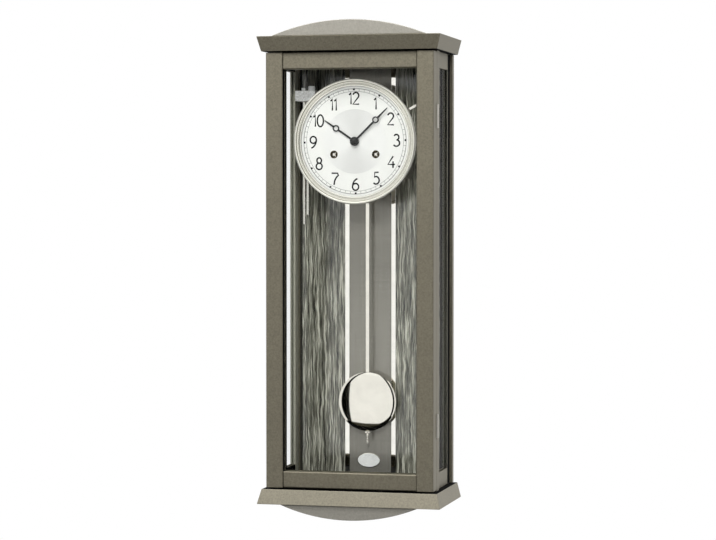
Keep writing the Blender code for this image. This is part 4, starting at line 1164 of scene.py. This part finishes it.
@dataclass
class CaseWork:
    """Carcass, cornice, plinth, crest, apron and back board."""

    edge: float = 0.0007
    fine_edge: float = 0.0004

    def build(self) -> None:
        """Ease and coat every case piece."""
        for name, finish, way in (("cornice", Finishes.GREY, Way.DOWN), ("plinth", Finishes.PLINTH, Way.UP)):
            refit(name, self.edge, finish, facing=Facing(Finishes.BLACK, (way,)))
        for name in ("crest", "apron"):
            refit(name, self.edge, Finishes.LIGHT)
        self.build_side("left", (Way.LEFT,), Way.RIGHT)
        # On the right the rear stile's front face is black too: painted shade.
        self.build_side("right", (Way.RIGHT, Way.FRONT), Way.LEFT)
        refit("back_board", self.fine_edge, Finishes.GREY)
        coat(Finishes.BLACK, "top_board", "bottom_board")
        coat(Finishes.STEEL, "wall_hanger")

    def build_side(self, side: str, shaded: tuple[Way, ...], inner: Way) -> None:
        """Ease and coat one side wall.

        Args:
            side: Name of the side.
            shaded: Faces of the rear stile coated black: its outer face, and on the right also its front
                face, as painted shade.
            inner: Way to the inside of the case.
        """
        inward = Facing(Finishes.BLACK, (inner, Way.REAR))
        refit(f"front_post_{side}", self.fine_edge, Finishes.GREY, facing=inward)
        refit(f"rear_stile_{side}", self.fine_edge, Finishes.INNER, facing=Facing(Finishes.BLACK, shaded))
        for place in ("top", "bottom"):
            refit(f"side_rail_{place}_{side}", self.fine_edge, Finishes.GREY, facing=inward)
        coat(Finishes.SIDE_GLASS, f"side_glass_{side}")


@dataclass
class Door:
    """Glazed door with its hinges."""

    edge: float = 0.0005
    rebate_depth: float = -0.125

    def build(self) -> None:
        """Ease the frame of the door and coat the pane and hinges."""
        for side, inner in (("left", Way.RIGHT), ("right", Way.LEFT)):
            rebate = Facing(Finishes.BLACK, (inner, Way.REAR), deep=self.rebate_depth)
            refit(f"door_stile_{side}", self.edge, Finishes.GREY, Body.DOOR, rebate)
        # The bottom rail's top and rear faces take painted shade.
        painted_shade_ledge = Facing(Finishes.LEDGE, (Way.REAR, Way.UP))
        for place, facing in (("top", None), ("bottom", painted_shade_ledge)):
            refit(f"door_rail_{place}", self.edge, Finishes.GREY, Body.DOOR, facing)
        coat(Finishes.GLASS, "door_glass")
        for place in ("upper", "lower"):
            coat(Finishes.HINGE, f"hinge_case_{place}", f"hinge_door_{place}")


@dataclass
class BackDecor:
    """Veneer panels, satin centre panel, bright strips and the blank oval plate."""

    plate_centre: Flat = (-0.0020, -0.2627)
    plate_half: Flat = (0.0161, 0.0100)
    plate_thickness: float = 0.0009
    plate_edge: float = 0.0003
    rim: float = 0.0008
    enamel_rise: float = 0.0002
    enamel_thickness: float = 0.0006
    enamel_edge: float = 0.00018
    line: float = 0.0038
    line_gap: float = 0.0002
    line_rise: float = 0.0003
    line_edge: float = 0.0001
    strip_edge: float = 0.0005

    def build(self) -> None:
        """Coat the panels, lay painted shadow bars beside them and set the oval plate."""
        coat(Finishes.VENEER, "veneer_panel_left", "veneer_panel_right")
        coat(Finishes.PANEL, "centre_panel")
        for side in ("left", "right"):
            refit(f"bright_strip_{side}", self.strip_edge, Finishes.STRIP)
        for side in ("left", "right"):
            self.build_line(side)
        self.build_plate()

    def build_line(self, side: str) -> None:
        """Lay a thin dark bar on the back board along one veneer panel: a painted shadow for the shadow gap
        between the board and the panel.

        Args:
            side: Name of the side.
        """
        low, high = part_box(f"veneer_panel_{side}")
        face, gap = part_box("back_board")[0][1], self.line_gap
        inner, outer = high[0] + gap, high[0] + gap + self.line
        if side == "left":
            inner, outer = low[0] - gap - self.line, low[0] - gap
        front, rear = face - self.line_rise, face - SEAT
        bar = Bench.block(f"dark_line_{side}", (inner, front, low[2]), (outer, rear, high[2]))
        dress(Bench.ease(bar, self.line_edge, 1), Finishes.REVEAL)

    def build_plate(self) -> None:
        """Make the oval plate: a bright rim around a plain silvered face."""
        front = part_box("centre_panel")[0][1] - self.plate_thickness
        rim = Bench.plate("oval_plate_rim", self.oval(0.0), front, self.plate_thickness - SEAT)
        dress(Bench.ease(rim, self.plate_edge), Finishes.NICKEL)
        front -= self.enamel_rise
        enamel = Bench.plate("oval_plate_enamel", self.oval(self.rim), front, self.enamel_thickness)
        dress(Bench.ease(enamel, self.enamel_edge), Finishes.ENAMEL)

    def oval(self, inset: float) -> list[Flat]:
        """Draw the plate's outline, so far inside its edge."""
        wide, tall = self.plate_half
        return arc(self.plate_centre, wide - inset, tall - inset, 0.0, 360.0, 72)[:-1]


@dataclass
class Numerals:
    """Slim upright figures, drawn with a round pen in a box one high."""

    gap: float = 0.17

    def strokes(self, figure: str) -> tuple[float, list[list[Flat]]]:
        """Draw one figure.

        Args:
            figure: One figure from 0 to 9.

        Returns:
            Its width and its strokes.
        """
        if figure == "9":
            width, paths = self.strokes("6")
            return width, [[(width - x, 1.0 - z) for x, z in path] for path in paths]
        curve = {
            "0": (0.54, [arc((0.27, 0.5), 0.27, 0.5, 0.0, 360.0, 40)]),
            "1": (0.17, [[(0.0, 0.80), (0.10, 0.88), (0.17, 1.0), (0.17, 0.0)]]),
            "2": (0.54, [arc((0.26, 0.74), 0.25, 0.26, 165.0, -32.0) + [(0.0, 0.0), (0.54, 0.0)]]),
            "3": (
                0.52,
                [
                    arc((0.23, 0.765), 0.22, 0.235, 150.0, -80.0)
                    + arc((0.23, 0.27), 0.28, 0.27, 82.0, -150.0)
                ],
            ),
            "4": (0.62, [[(0.46, 1.0), (0.0, 0.30), (0.62, 0.30)], [(0.45, 0.56), (0.45, 0.0)]]),
            "5": (
                0.52,
                [[(0.46, 1.0), (0.13, 1.0), (0.08, 0.58)] + arc((0.23, 0.32), 0.28, 0.32, 118.0, -140.0)],
            ),
            "6": (
                0.54,
                [
                    arc((0.27, 0.29), 0.27, 0.29, 0.0, 360.0, 32),
                    arc((0.62, 0.30), 0.615, 0.72, 178.0, 107.0),
                ],
            ),
            "7": (0.52, [[(0.0, 1.0), (0.52, 1.0)] + arc((0.92, 0.0), 0.70, 0.92, 118.0, 180.0, 10)]),
            "8": (
                0.52,
                [
                    arc((0.26, 0.765), 0.20, 0.235, 0.0, 360.0, 28),
                    arc((0.26, 0.27), 0.26, 0.27, 0.0, 360.0, 32),
                ],
            ),
        }
        return curve[figure]

    def number(self, text: str, centre: Flat, height: float) -> list[list[Flat]]:
        """Set a number around a centre.

        Args:
            text: The number.
            centre: Middle of the number.
            height: Height of its figures.

        Returns:
            All its strokes.
        """
        placed: list[list[Flat]] = []
        reach = 0.0
        for figure in text:
            width, paths = self.strokes(figure)
            placed += [[(x + reach, z - 0.5) for x, z in path] for path in paths]
            reach += width + self.gap
        half = (reach - self.gap) / 2
        across, up = centre
        return [[(across + (x - half) * height, up + z * height) for x, z in path] for path in placed]


@dataclass(frozen=True)
class Hand:
    """One hand: a boss, a slim stem, a ring and a point."""

    name: str
    body: Body
    length: float
    ring_at: float
    turn: float
    rise: float
    bore: float
    stem: float = 0.0013
    tip: float = 0.0006
    ring: float = 0.0045
    ring_bore: float = 0.0028
    boss: float = 0.0061
    thickness: float = 0.0006
    edge: float = 0.00012

    def outline(self) -> list[Flat]:
        """Draw the hand as it points to twelve.

        Returns:
            Its corners, going round.
        """
        base = math.degrees(math.asin(self.stem / self.boss))
        side = math.degrees(math.asin(self.stem / self.ring))
        middle = (0.0, self.ring_at)
        outline = arc((0.0, 0.0), self.boss, self.boss, 90.0 + base, 450.0 - base, 48)
        outline += arc(middle, self.ring, self.ring, side - 90.0, 90.0 - side, 28)
        outline += [(self.tip, self.length), (-self.tip, self.length)]
        return outline + arc(middle, self.ring, self.ring, 90.0 + side, 270.0 - side, 28)

    def build(self, face: float, centre: Point) -> None:
        """Cut the hand, turn it to its time and set it over the dial.

        Args:
            face: Depth of the dial's face.
            centre: Middle of the dial.
        """
        front = face + self.rise
        piece = Bench.plate(f"{self.name}_cut", self.outline(), front, self.thickness)
        depths = (front - 0.001, front + 0.002)
        holes = ((0.0, self.bore), (self.ring_at, self.ring_bore))
        Bench.cut(piece, [Bench.disc("drill", (0.0, z), radius, depths, 40) for z, radius in holes])
        Bench.ease(piece, self.edge, 2)
        piece.data.transform(Matrix.Rotation(math.radians(self.turn), 4, "Y"))
        piece.data.transform(Matrix.Translation(centre))
        dress(piece, Finishes.HAND, self.body, (self.name,))


@dataclass
class DialGroup:
    """Dial with its print, eyelets, bezel and hands."""

    height: float = DIAL_HEIGHT
    face: float = -0.1005
    number_radius: float = 0.0572
    number_height: float = 0.0156
    number_rise: float = 0.00008
    pen: float = 0.0021
    track_radii: Flat = (0.0664, 0.0701)
    track_pen: float = 0.00038
    track_rise: float = 0.00005
    rim_share: float = 1.7
    rim_rise: float = 0.00006
    mark_radius: float = 0.0692
    mark_half: float = 0.0013
    mark_rise: float = 0.00009
    mark_thickness: float = 0.00008
    print_lean: float = -1.0
    spun_radius: float = 0.0430
    spun_rise: float = 0.00012
    arbor_hole: float = 0.0030
    winding_hole: float = 0.0046
    winding: Flat = (0.0286, -0.0173)
    bezel_radius: float = 0.0839
    bezel_width: float = 0.0104
    bezel_rise: float = 0.0050
    bezel_bead: float = 0.0023
    hands: tuple[Hand, ...] = (
        Hand("minute_hand", Body.MINUTE, 0.0630, ring_at=0.0405, turn=45.5, rise=-0.0032, bore=0.00168),
        Hand("hour_hand", Body.HOUR, 0.0496, ring_at=0.0310, turn=304.3, rise=-0.0016, bore=0.00268),
    )

    @property
    def centre(self) -> Point:
        """Middle of the dial, at zero depth."""
        return 0.0, 0.0, self.height

    def spot(self, radius: float, turn: float) -> Flat:
        """Find a place on the dial by its radius and its degrees clockwise from twelve."""
        angle = math.radians(turn)
        return radius * math.sin(angle), self.height + radius * math.cos(angle)

    def build(self) -> None:
        """Build the dial group from back to front."""
        coat(Finishes.DIAL, "dial_plate")
        self.build_spun_centre()
        self.build_print()
        self.build_eyelets()
        self.build_bezel()
        for hand in self.hands:
            hand.build(self.face, self.centre)
        self.build_cap()

    def build_spun_centre(self) -> None:
        """Lay a thin spun disc in the middle, open at the arbors."""
        depths = (self.face - self.spun_rise, self.face)
        disc = Bench.disc("spun_centre", (0.0, self.height), self.spun_radius, depths, 96)
        across, up = self.winding
        holes = [(0.0, 0.0, self.arbor_hole)]
        holes += [(x, up, self.winding_hole) for x in (across, -across)]
        depths = (self.face - 0.002, self.face + 0.002)
        drills = [Bench.disc("drill", (x, self.height + z), radius, depths, 36) for x, z, radius in holes]
        dress(Bench.smooth(Bench.cut(disc, drills)), Finishes.SPUN)

    def build_print(self) -> None:
        """Print the numbers, the minute track and the hour marks."""
        figures = Numerals()
        strokes: list[list[Flat]] = []
        for hour in range(1, 13):
            place = self.spot(self.number_radius, hour * 30.0 + self.print_lean)
            strokes += figures.number(str(hour), place, self.number_height)
        dress(Bench.traced("dial_numbers", strokes, self.pen, self.face, self.number_rise), Finishes.INK)
        inner, outer = self.track_radii
        middle = (0.0, self.height)
        lines = [arc(middle, radius, radius, 0.0, 360.0, 120) for radius in self.track_radii]
        rim_pen = self.rim_share * self.track_pen
        rim = Bench.traced("dial_track_rim", lines[1:], rim_pen, self.face, self.rim_rise)
        dress(rim, Finishes.FAINT_INK)
        for minute in range(60):
            if minute % 5:
                turn = minute * 6.0 + self.print_lean
                lines.append([self.spot(inner, turn), self.spot(outer, turn)])
        track = Bench.traced("dial_track", lines, self.track_pen, self.face, self.track_rise)
        dress(track, Finishes.FAINT_INK)
        marks = []
        for hour in range(12):
            outline = self.mark_outline(hour * 30.0 + self.print_lean)
            marks.append(Bench.plate("mark", outline, self.face - self.mark_rise, self.mark_thickness))
        dress(Bench.joined("dial_hour_marks", marks), Finishes.INK)

    def mark_outline(self, turn: float) -> list[Flat]:
        """Draw one square hour mark.

        Args:
            turn: Degrees clockwise from twelve.

        Returns:
            Its four corners.
        """
        half = self.mark_half
        lean = math.degrees(half / self.mark_radius)
        corners = ((-lean, -half), (lean, -half), (lean, half), (-lean, half))
        return [self.spot(self.mark_radius + out, turn + side) for side, out in corners]

    def build_eyelets(self) -> None:
        """Press a dark eyelet into each winding hole."""
        face = self.face
        profile = [
            (0.0033, face + 0.0010),
            (0.0033, face + 0.0002),
            (0.0037, face - 0.0004),
            (0.0044, face - 0.0007),
            (0.0049, face - 0.0006),
            (0.0052, face - 0.0003),
            (0.0052, face - 0.00013),
            (0.0045, face - 0.00013),
            (0.0045, face + 0.0010),
        ]
        across, up = self.winding
        left = Bench.turned("winding_eyelet_left", profile, (-across, 0.0, self.height + up), 48)
        right = Bench.copied(left, "winding_eyelet_right", Matrix.Translation((2 * across, 0.0, 0.0)))
        for eyelet in (left, right):
            dress(eyelet, Finishes.EYELET)

    def build_bezel(self) -> None:
        """Turn the bezel: a round bead outside, a flat step and a thin inner lip."""
        outer, lip, face = self.bezel_radius, self.bezel_radius - self.bezel_width, self.face
        half, rear = self.bezel_bead, face + 0.0018
        profile = [(outer, rear)]
        for across, rise in arc((0.0, 0.0), 1.0, 1.0, 0.0, 150.0, 18):
            profile.append((outer - half + half * across, face - self.bezel_rise * rise))
        profile += [
            (lip + 0.0040, face - 0.0021),
            (lip + 0.0034, face - 0.0025),
            (lip + 0.0024, face - 0.0025),
            (lip + 0.0017, face - 0.0027),
            (lip + 0.0005, face - 0.0028),
            (lip, face - 0.0025),
            (lip, face - 0.0003),
            (outer - 0.0028, face - 0.0003),
            (outer - 0.0028, rear),
        ]
        ring = Bench.turned("bezel_turned", profile, self.centre, 160)
        dress(ring, Finishes.BEZEL, replaces=("dial_bezel",))

    def build_cap(self) -> None:
        """Turn the small cap nut that holds the minute hand."""
        front, rear, hollow = self.face - 0.0058, self.face - 0.00335, self.face - 0.0047
        profile = [
            (0.0, front),
            (0.0014, front + 0.00005),
            (0.0023, front + 0.0003),
            (0.0029, front + 0.0009),
            (0.0031, front + 0.0016),
            (0.0031, rear),
            (0.0019, rear),
            (0.0019, hollow),
            (0.0, hollow),
        ]
        dress(Bench.turned("hand_cap", profile, self.centre, 40), Finishes.HAND, Body.MINUTE)


@dataclass
class Movement:
    """Plates, trains and bracket behind the dial, with their screws."""

    screw_radius: float = 0.0028
    screw_height: float = 0.0015
    plate_thickness: float = 0.0020
    lower_inset: float = 0.0085
    upper_spot: Flat = (0.036, 0.006)

    def build(self) -> None:
        """Coat the movement and add the screws that hold it."""
        coat(
            Finishes.BRASS,
            "front_plate",
            "going_barrel",
            "strike_barrel",
            "centre_wheel",
            "third_wheel",
            "escape_wheel",
            "cannon_pinion",
            "hour_wheel",
            "minute_wheel",
            "suspension_cock",
        )
        coat(Finishes.NICKEL, "winding_arbor_going", "winding_arbor_strike")
        coat(Finishes.STEEL, "anchor")
        coat(Finishes.BRACKET, "movement_bracket")
        coat(Finishes.PLATE, "back_plate")
        self.build_screws()

    def build_screws(self) -> None:
        """Put a slotted screw on the front plate over each pillar."""
        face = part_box("front_plate")[1][1] - self.plate_thickness - SEAT
        low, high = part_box("back_plate")
        across, fall = self.upper_spot
        places = []
        for x, z in ((high[0] - self.lower_inset, low[2] + self.lower_inset), (across, high[2] - fall)):
            places += [(x, face, z), (-x, face, z)]
        turn = Matrix.Rotation(math.radians(90.0), 4, "X")
        first, *others = [Matrix.Translation(place) @ turn for place in places]
        screw = slotted_screw("plate_screw_1", self.screw_radius, self.screw_height)
        for count, place in enumerate(others, 2):
            dress(Bench.copied(screw, f"plate_screw_{count}", place), Finishes.STEEL)
        screw.data.transform(first)
        dress(screw, Finishes.STEEL)


def slotted_screw(name: str, radius: float, height: float) -> Piece:
    """Make a slotted screw head that stands upright on zero.

    Args:
        name: Name of the screw.
        radius: Radius of the head.
        height: Height of the head.

    Returns:
        The screw head.
    """
    profile = [(0.0, 0.0), (radius, 0.0), (radius, height * 0.7), (radius * 0.86, height), (0.0, height)]
    head = Bench.turned(name, profile, ORIGIN, 28, Axis.HEIGHT)
    half = radius * 0.14
    slot = Bench.block("slot", (-2 * radius, -half, height * 0.55), (2 * radius, half, 2 * height))
    return Bench.smooth(Bench.cut(head, [slot]))


@dataclass
class Pendulum:
    """Rod, bob and rating nut."""

    depth: float = -0.028
    bob_height: float = -0.1807
    bob_radius: float = 0.0401
    front: float = 0.0090
    back: float = 0.0065
    edge: float = 0.0050
    rim: float = 0.0029
    rim_fall: float = 0.0012
    rim_start: float = 0.86
    way_half: Flat = (0.0027, 0.0017)
    thread_radius: float = 0.0015
    thread_span: Flat = (-0.2374, -0.2257)
    thread_pitch: float = 0.0022
    thread_ridge: float = 0.0008
    nut_radii: Flat = (0.0025, 0.0036)
    nut_span: Flat = (-0.2241, -0.2211)
    nut_edge: float = 0.0005
    nut_steps: int = 48

    def build(self) -> None:
        """Coat the rod, and turn the bob, the thread and the nut."""
        coat(Finishes.NICKEL, "pendulum_rod")
        self.build_bob()
        self.build_thread()
        self.build_nut()

    def build_bob(self) -> None:
        """Turn the domed bob and cut the way for the rod."""
        radius, half = self.bob_radius, self.edge / 2
        rise = self.front - self.rim
        ball = (radius ** 2 + rise ** 2) / (2 * rise)
        profile = [(0.0, -self.front)]
        steps = 48
        for k in range(1, steps + 1):
            out = radius * math.sin(math.pi / 2 * k / steps)
            share = max(out / radius - self.rim_start, 0.0) / (1.0 - self.rim_start)
            fall = self.rim_fall * share ** 2.5
            profile.append((out, ball - self.front - math.sqrt(ball ** 2 - out ** 2) + fall))
        profile += [
            (radius, half - 0.0008),
            (radius - 0.0004, half - 0.0002),
            (radius * 0.8, self.back - 0.0004),
            (radius * 0.78, self.back),
            (0.0, self.back),
        ]
        bob = Bench.turned("bob_domed", profile, (0.0, self.depth, self.bob_height), 144)
        wide, deep = self.way_half
        tall = radius + 0.005
        way = Bench.block(
            "way",
            (-wide, self.depth - deep, self.bob_height - tall),
            (wide, self.depth + deep, self.bob_height + tall),
        )
        dress(Bench.smooth(Bench.cut(bob, [way]), 28.0), Finishes.NICKEL, Body.BOB, ("pendulum_bob",))

    def build_thread(self) -> None:
        """Turn the ridges of the thread below the nut."""
        low, high = self.thread_span
        root, pitch = self.thread_radius, self.thread_pitch
        crest = root + self.thread_ridge
        profile = [(0.0, low), (root, low)]
        for k in range(int((high - low) / pitch)):
            base = low + k * pitch
            profile += [(root, base + 0.15 * pitch), (crest, base + 0.55 * pitch)]
        profile += [(root, high), (0.0, high)]
        thread = Bench.turned("rod_thread", profile, (0.0, self.depth, 0.0), 28, Axis.HEIGHT)
        dress(thread, Finishes.NICKEL, Body.PENDULUM)

    def build_nut(self) -> None:
        """Turn the rating nut and press the ridges of its milled edge."""
        low, high = self.nut_span
        bore, radius = self.nut_radii
        ease = self.nut_edge
        profile = [
            (bore, low),
            (radius - ease, low),
            (radius, low + ease),
            (radius, high - ease),
            (radius - ease, high),
            (bore, high),
        ]
        nut = Bench.turned("rating_nut_milled", profile, ORIGIN, self.nut_steps, Axis.HEIGHT)
        for corner in nut.data.vertices:
            step = round(math.atan2(corner.co.y, corner.co.x) / math.tau * self.nut_steps)
            if corner.co.xy.length > radius - 0.0001 and step % 2:
                corner.co.xy *= 0.93
        nut.data.transform(Matrix.Translation((0.0, self.depth, 0.0)))
        dress(Bench.smooth(nut, 20.0), Finishes.NICKEL, Body.NUT, ("rating_nut",))


@dataclass
class StrikeWork:
    """Gong block with its screws and rods, the hammers and the lever."""

    edge: float = 0.0006
    screw_depth: float = 0.0085
    screws: tuple[Point, ...] = ((-0.0845, 0.0026, 0.0040), (-0.0728, 0.0047, 0.0065))

    def build(self) -> None:
        """Ease the block, set its screws and coat the rest."""
        refit("gong_block", self.edge, Finishes.CAST)
        low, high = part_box("gong_block")
        for count, (x, radius, height) in enumerate(self.screws, 1):
            screw = slotted_screw(f"gong_screw_{count}", radius, height)
            screw.data.transform(Matrix.Translation((x, low[1] + self.screw_depth, high[2] + SEAT)))
            dress(screw, Finishes.CAST)
        coat(Finishes.ROD, "gong_rod_long", "gong_rod_short")
        coat(Finishes.STEEL, "hammer_front", "hammer_rear")
        coat(Finishes.NICKEL, "strike_lever")


@dataclass
class Studio:
    """Pale floor, soft lamps, white surround and the camera."""

    floor_height: float = -0.60
    floor_reach: float = 12.0
    ambient: float = 0.05
    gloss: Flat = (0.0, 2.4)
    backdrop: float = 1.25
    turn_span: Flat = (-0.3, 0.5)
    eye: Point = (0.7545, -3.1514, 0.0891)
    tilt: float = 0.0281
    heading: float = 0.2411
    lens: float = 118.6
    sensor: float = 36.0

    def build(self) -> None:
        """Set the floor, the surround, the lamps and the camera."""
        bpy.context.scene.view_settings.view_transform = "Standard"
        self.build_floor()
        self.build_surround()
        self.lamp("key_lamp", (-0.2, -1.0, 1.35), (0.0, -0.12, 0.05), (0.9, 0.5), 21.0, True)
        self.lamp("front_lamp", (0.50, -2.85, 1.0), (0.0, -0.06, 0.0), (0.6, 0.6), 49.0)
        self.lamp("side_lamp", (2.2, -0.9, 0.3), (0.0, -0.06, 0.0), (1.2, 1.2), 8.0)
        self.build_camera()

    def lamp(
        self, name: str, place: Point, target: Point, size: Flat, power: float, shines: bool = False
    ) -> None:
        """Hang one soft lamp.

        Args:
            name: Name of the lamp.
            place: Where it hangs.
            target: Where it points.
            size: Width and height of its face.
            power: Power in watts.
            shines: Whether glossy faces show it.
        """
        light = bpy.data.lights.new(name, "AREA")
        light.shape = "RECTANGLE"
        light.size, light.size_y = size
        light.energy = power
        lamp = Bench.put(name, light)
        lamp.location = place
        lamp.rotation_euler = (Vector(target) - Vector(place)).to_track_quat("-Z", "Y").to_euler()
        lamp.visible_camera = False
        lamp.visible_glossy = shines
        lamp.visible_transmission = False

    def build_floor(self) -> None:
        """Lay a pale floor that keeps the clock's shadow."""
        Bench.clear()
        bpy.ops.mesh.primitive_plane_add(size=self.floor_reach, location=(0.0, 0.0, self.floor_height))
        floor = Bench.named("studio_floor")
        paper = bpy.data.materials.new("pale_floor")
        sheet = NodeSheet(paper)
        sheet.settle(Base_Color=(0.9, 0.9, 0.9), Roughness=0.9, Specular_IOR_Level=0.0)
        plain = sheet.ray("Is Camera Ray", "Is Transmission Ray")
        seen = sheet.maths("MAXIMUM", plain, sheet.maths("MULTIPLY", sheet.ray("Is Glossy Ray"), 0.1))
        clean = sheet.span(sheet.radius(ORIGIN, Axis.HEIGHT), (0.3, 1.5), (0.88, 1.0))
        glow = sheet.node("ShaderNodeEmission", Color=WHITE, Strength=1.0)
        sheet.cover(sheet.maths("MULTIPLY", seen, clean), glow.outputs["Emission"])
        floor.data.materials.append(paper)
        floor.visible_glossy = False

    def build_surround(self) -> None:
        """Make the surround white to the eye, softer as a light and darker low down in the gloss."""
        world = bpy.data.worlds.new("studio")
        bpy.context.scene.world = world
        sheet = NodeSheet(world, "Generated")
        way = sheet.node("ShaderNodeSeparateXYZ", Vector=sheet.coords)
        back, up = way.outputs["Y"], way.outputs["Z"]
        band = sheet.span(sheet.maths("ABSOLUTE", up), (0.10, 0.26), (1.0, 0.0))
        window = sheet.maths("MULTIPLY", band, sheet.span(back, (-0.88, -0.72), (1.0, 0.0)))
        level = sheet.maths("MAXIMUM", sheet.span(up, (-0.02, 0.6), self.gloss), window)
        ahead = sheet.maths("MULTIPLY", level, sheet.span(back, self.turn_span, (1.0, 0.0)))
        behind = sheet.span(back, self.turn_span, (0.0, self.backdrop))
        plain = sheet.ray("Is Camera Ray", "Is Transmission Ray")
        mirrored = sheet.maths("GREATER_THAN", sheet.ray("Is Glossy Ray"), plain)
        shown = sheet.maths("MULTIPLY", mirrored, sheet.maths("ADD", ahead, behind))
        seen = sheet.maths("MAXIMUM", plain, shown)
        sheet.settle(Color=WHITE, Strength=sheet.maths("MAXIMUM", seen, self.ambient))

    def build_camera(self) -> None:
        """Set the camera at the photograph's place and angle."""
        view = bpy.data.cameras.new("view")
        view.lens = self.lens
        view.sensor_width = self.sensor
        view.sensor_fit = "HORIZONTAL"
        camera = Bench.put("view", view)
        camera.location = self.eye
        camera.rotation_euler = (math.pi / 2 - self.tilt, 0.0, self.heading)
        bpy.context.scene.camera = camera


def main() -> None:
    """Build the clock's pieces and the studio."""
    logging.basicConfig(level=logging.INFO, format="%(name)s: %(message)s")
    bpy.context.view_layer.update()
    groups = (CaseWork(), Door(), BackDecor(), DialGroup(), Movement(), Pendulum(), StrikeWork(), Studio())
    for group in groups:
        LOG.info("building %s", type(group).__name__)
        group.build()
    Bench.clear()


if __name__ == "__main__":
    main()
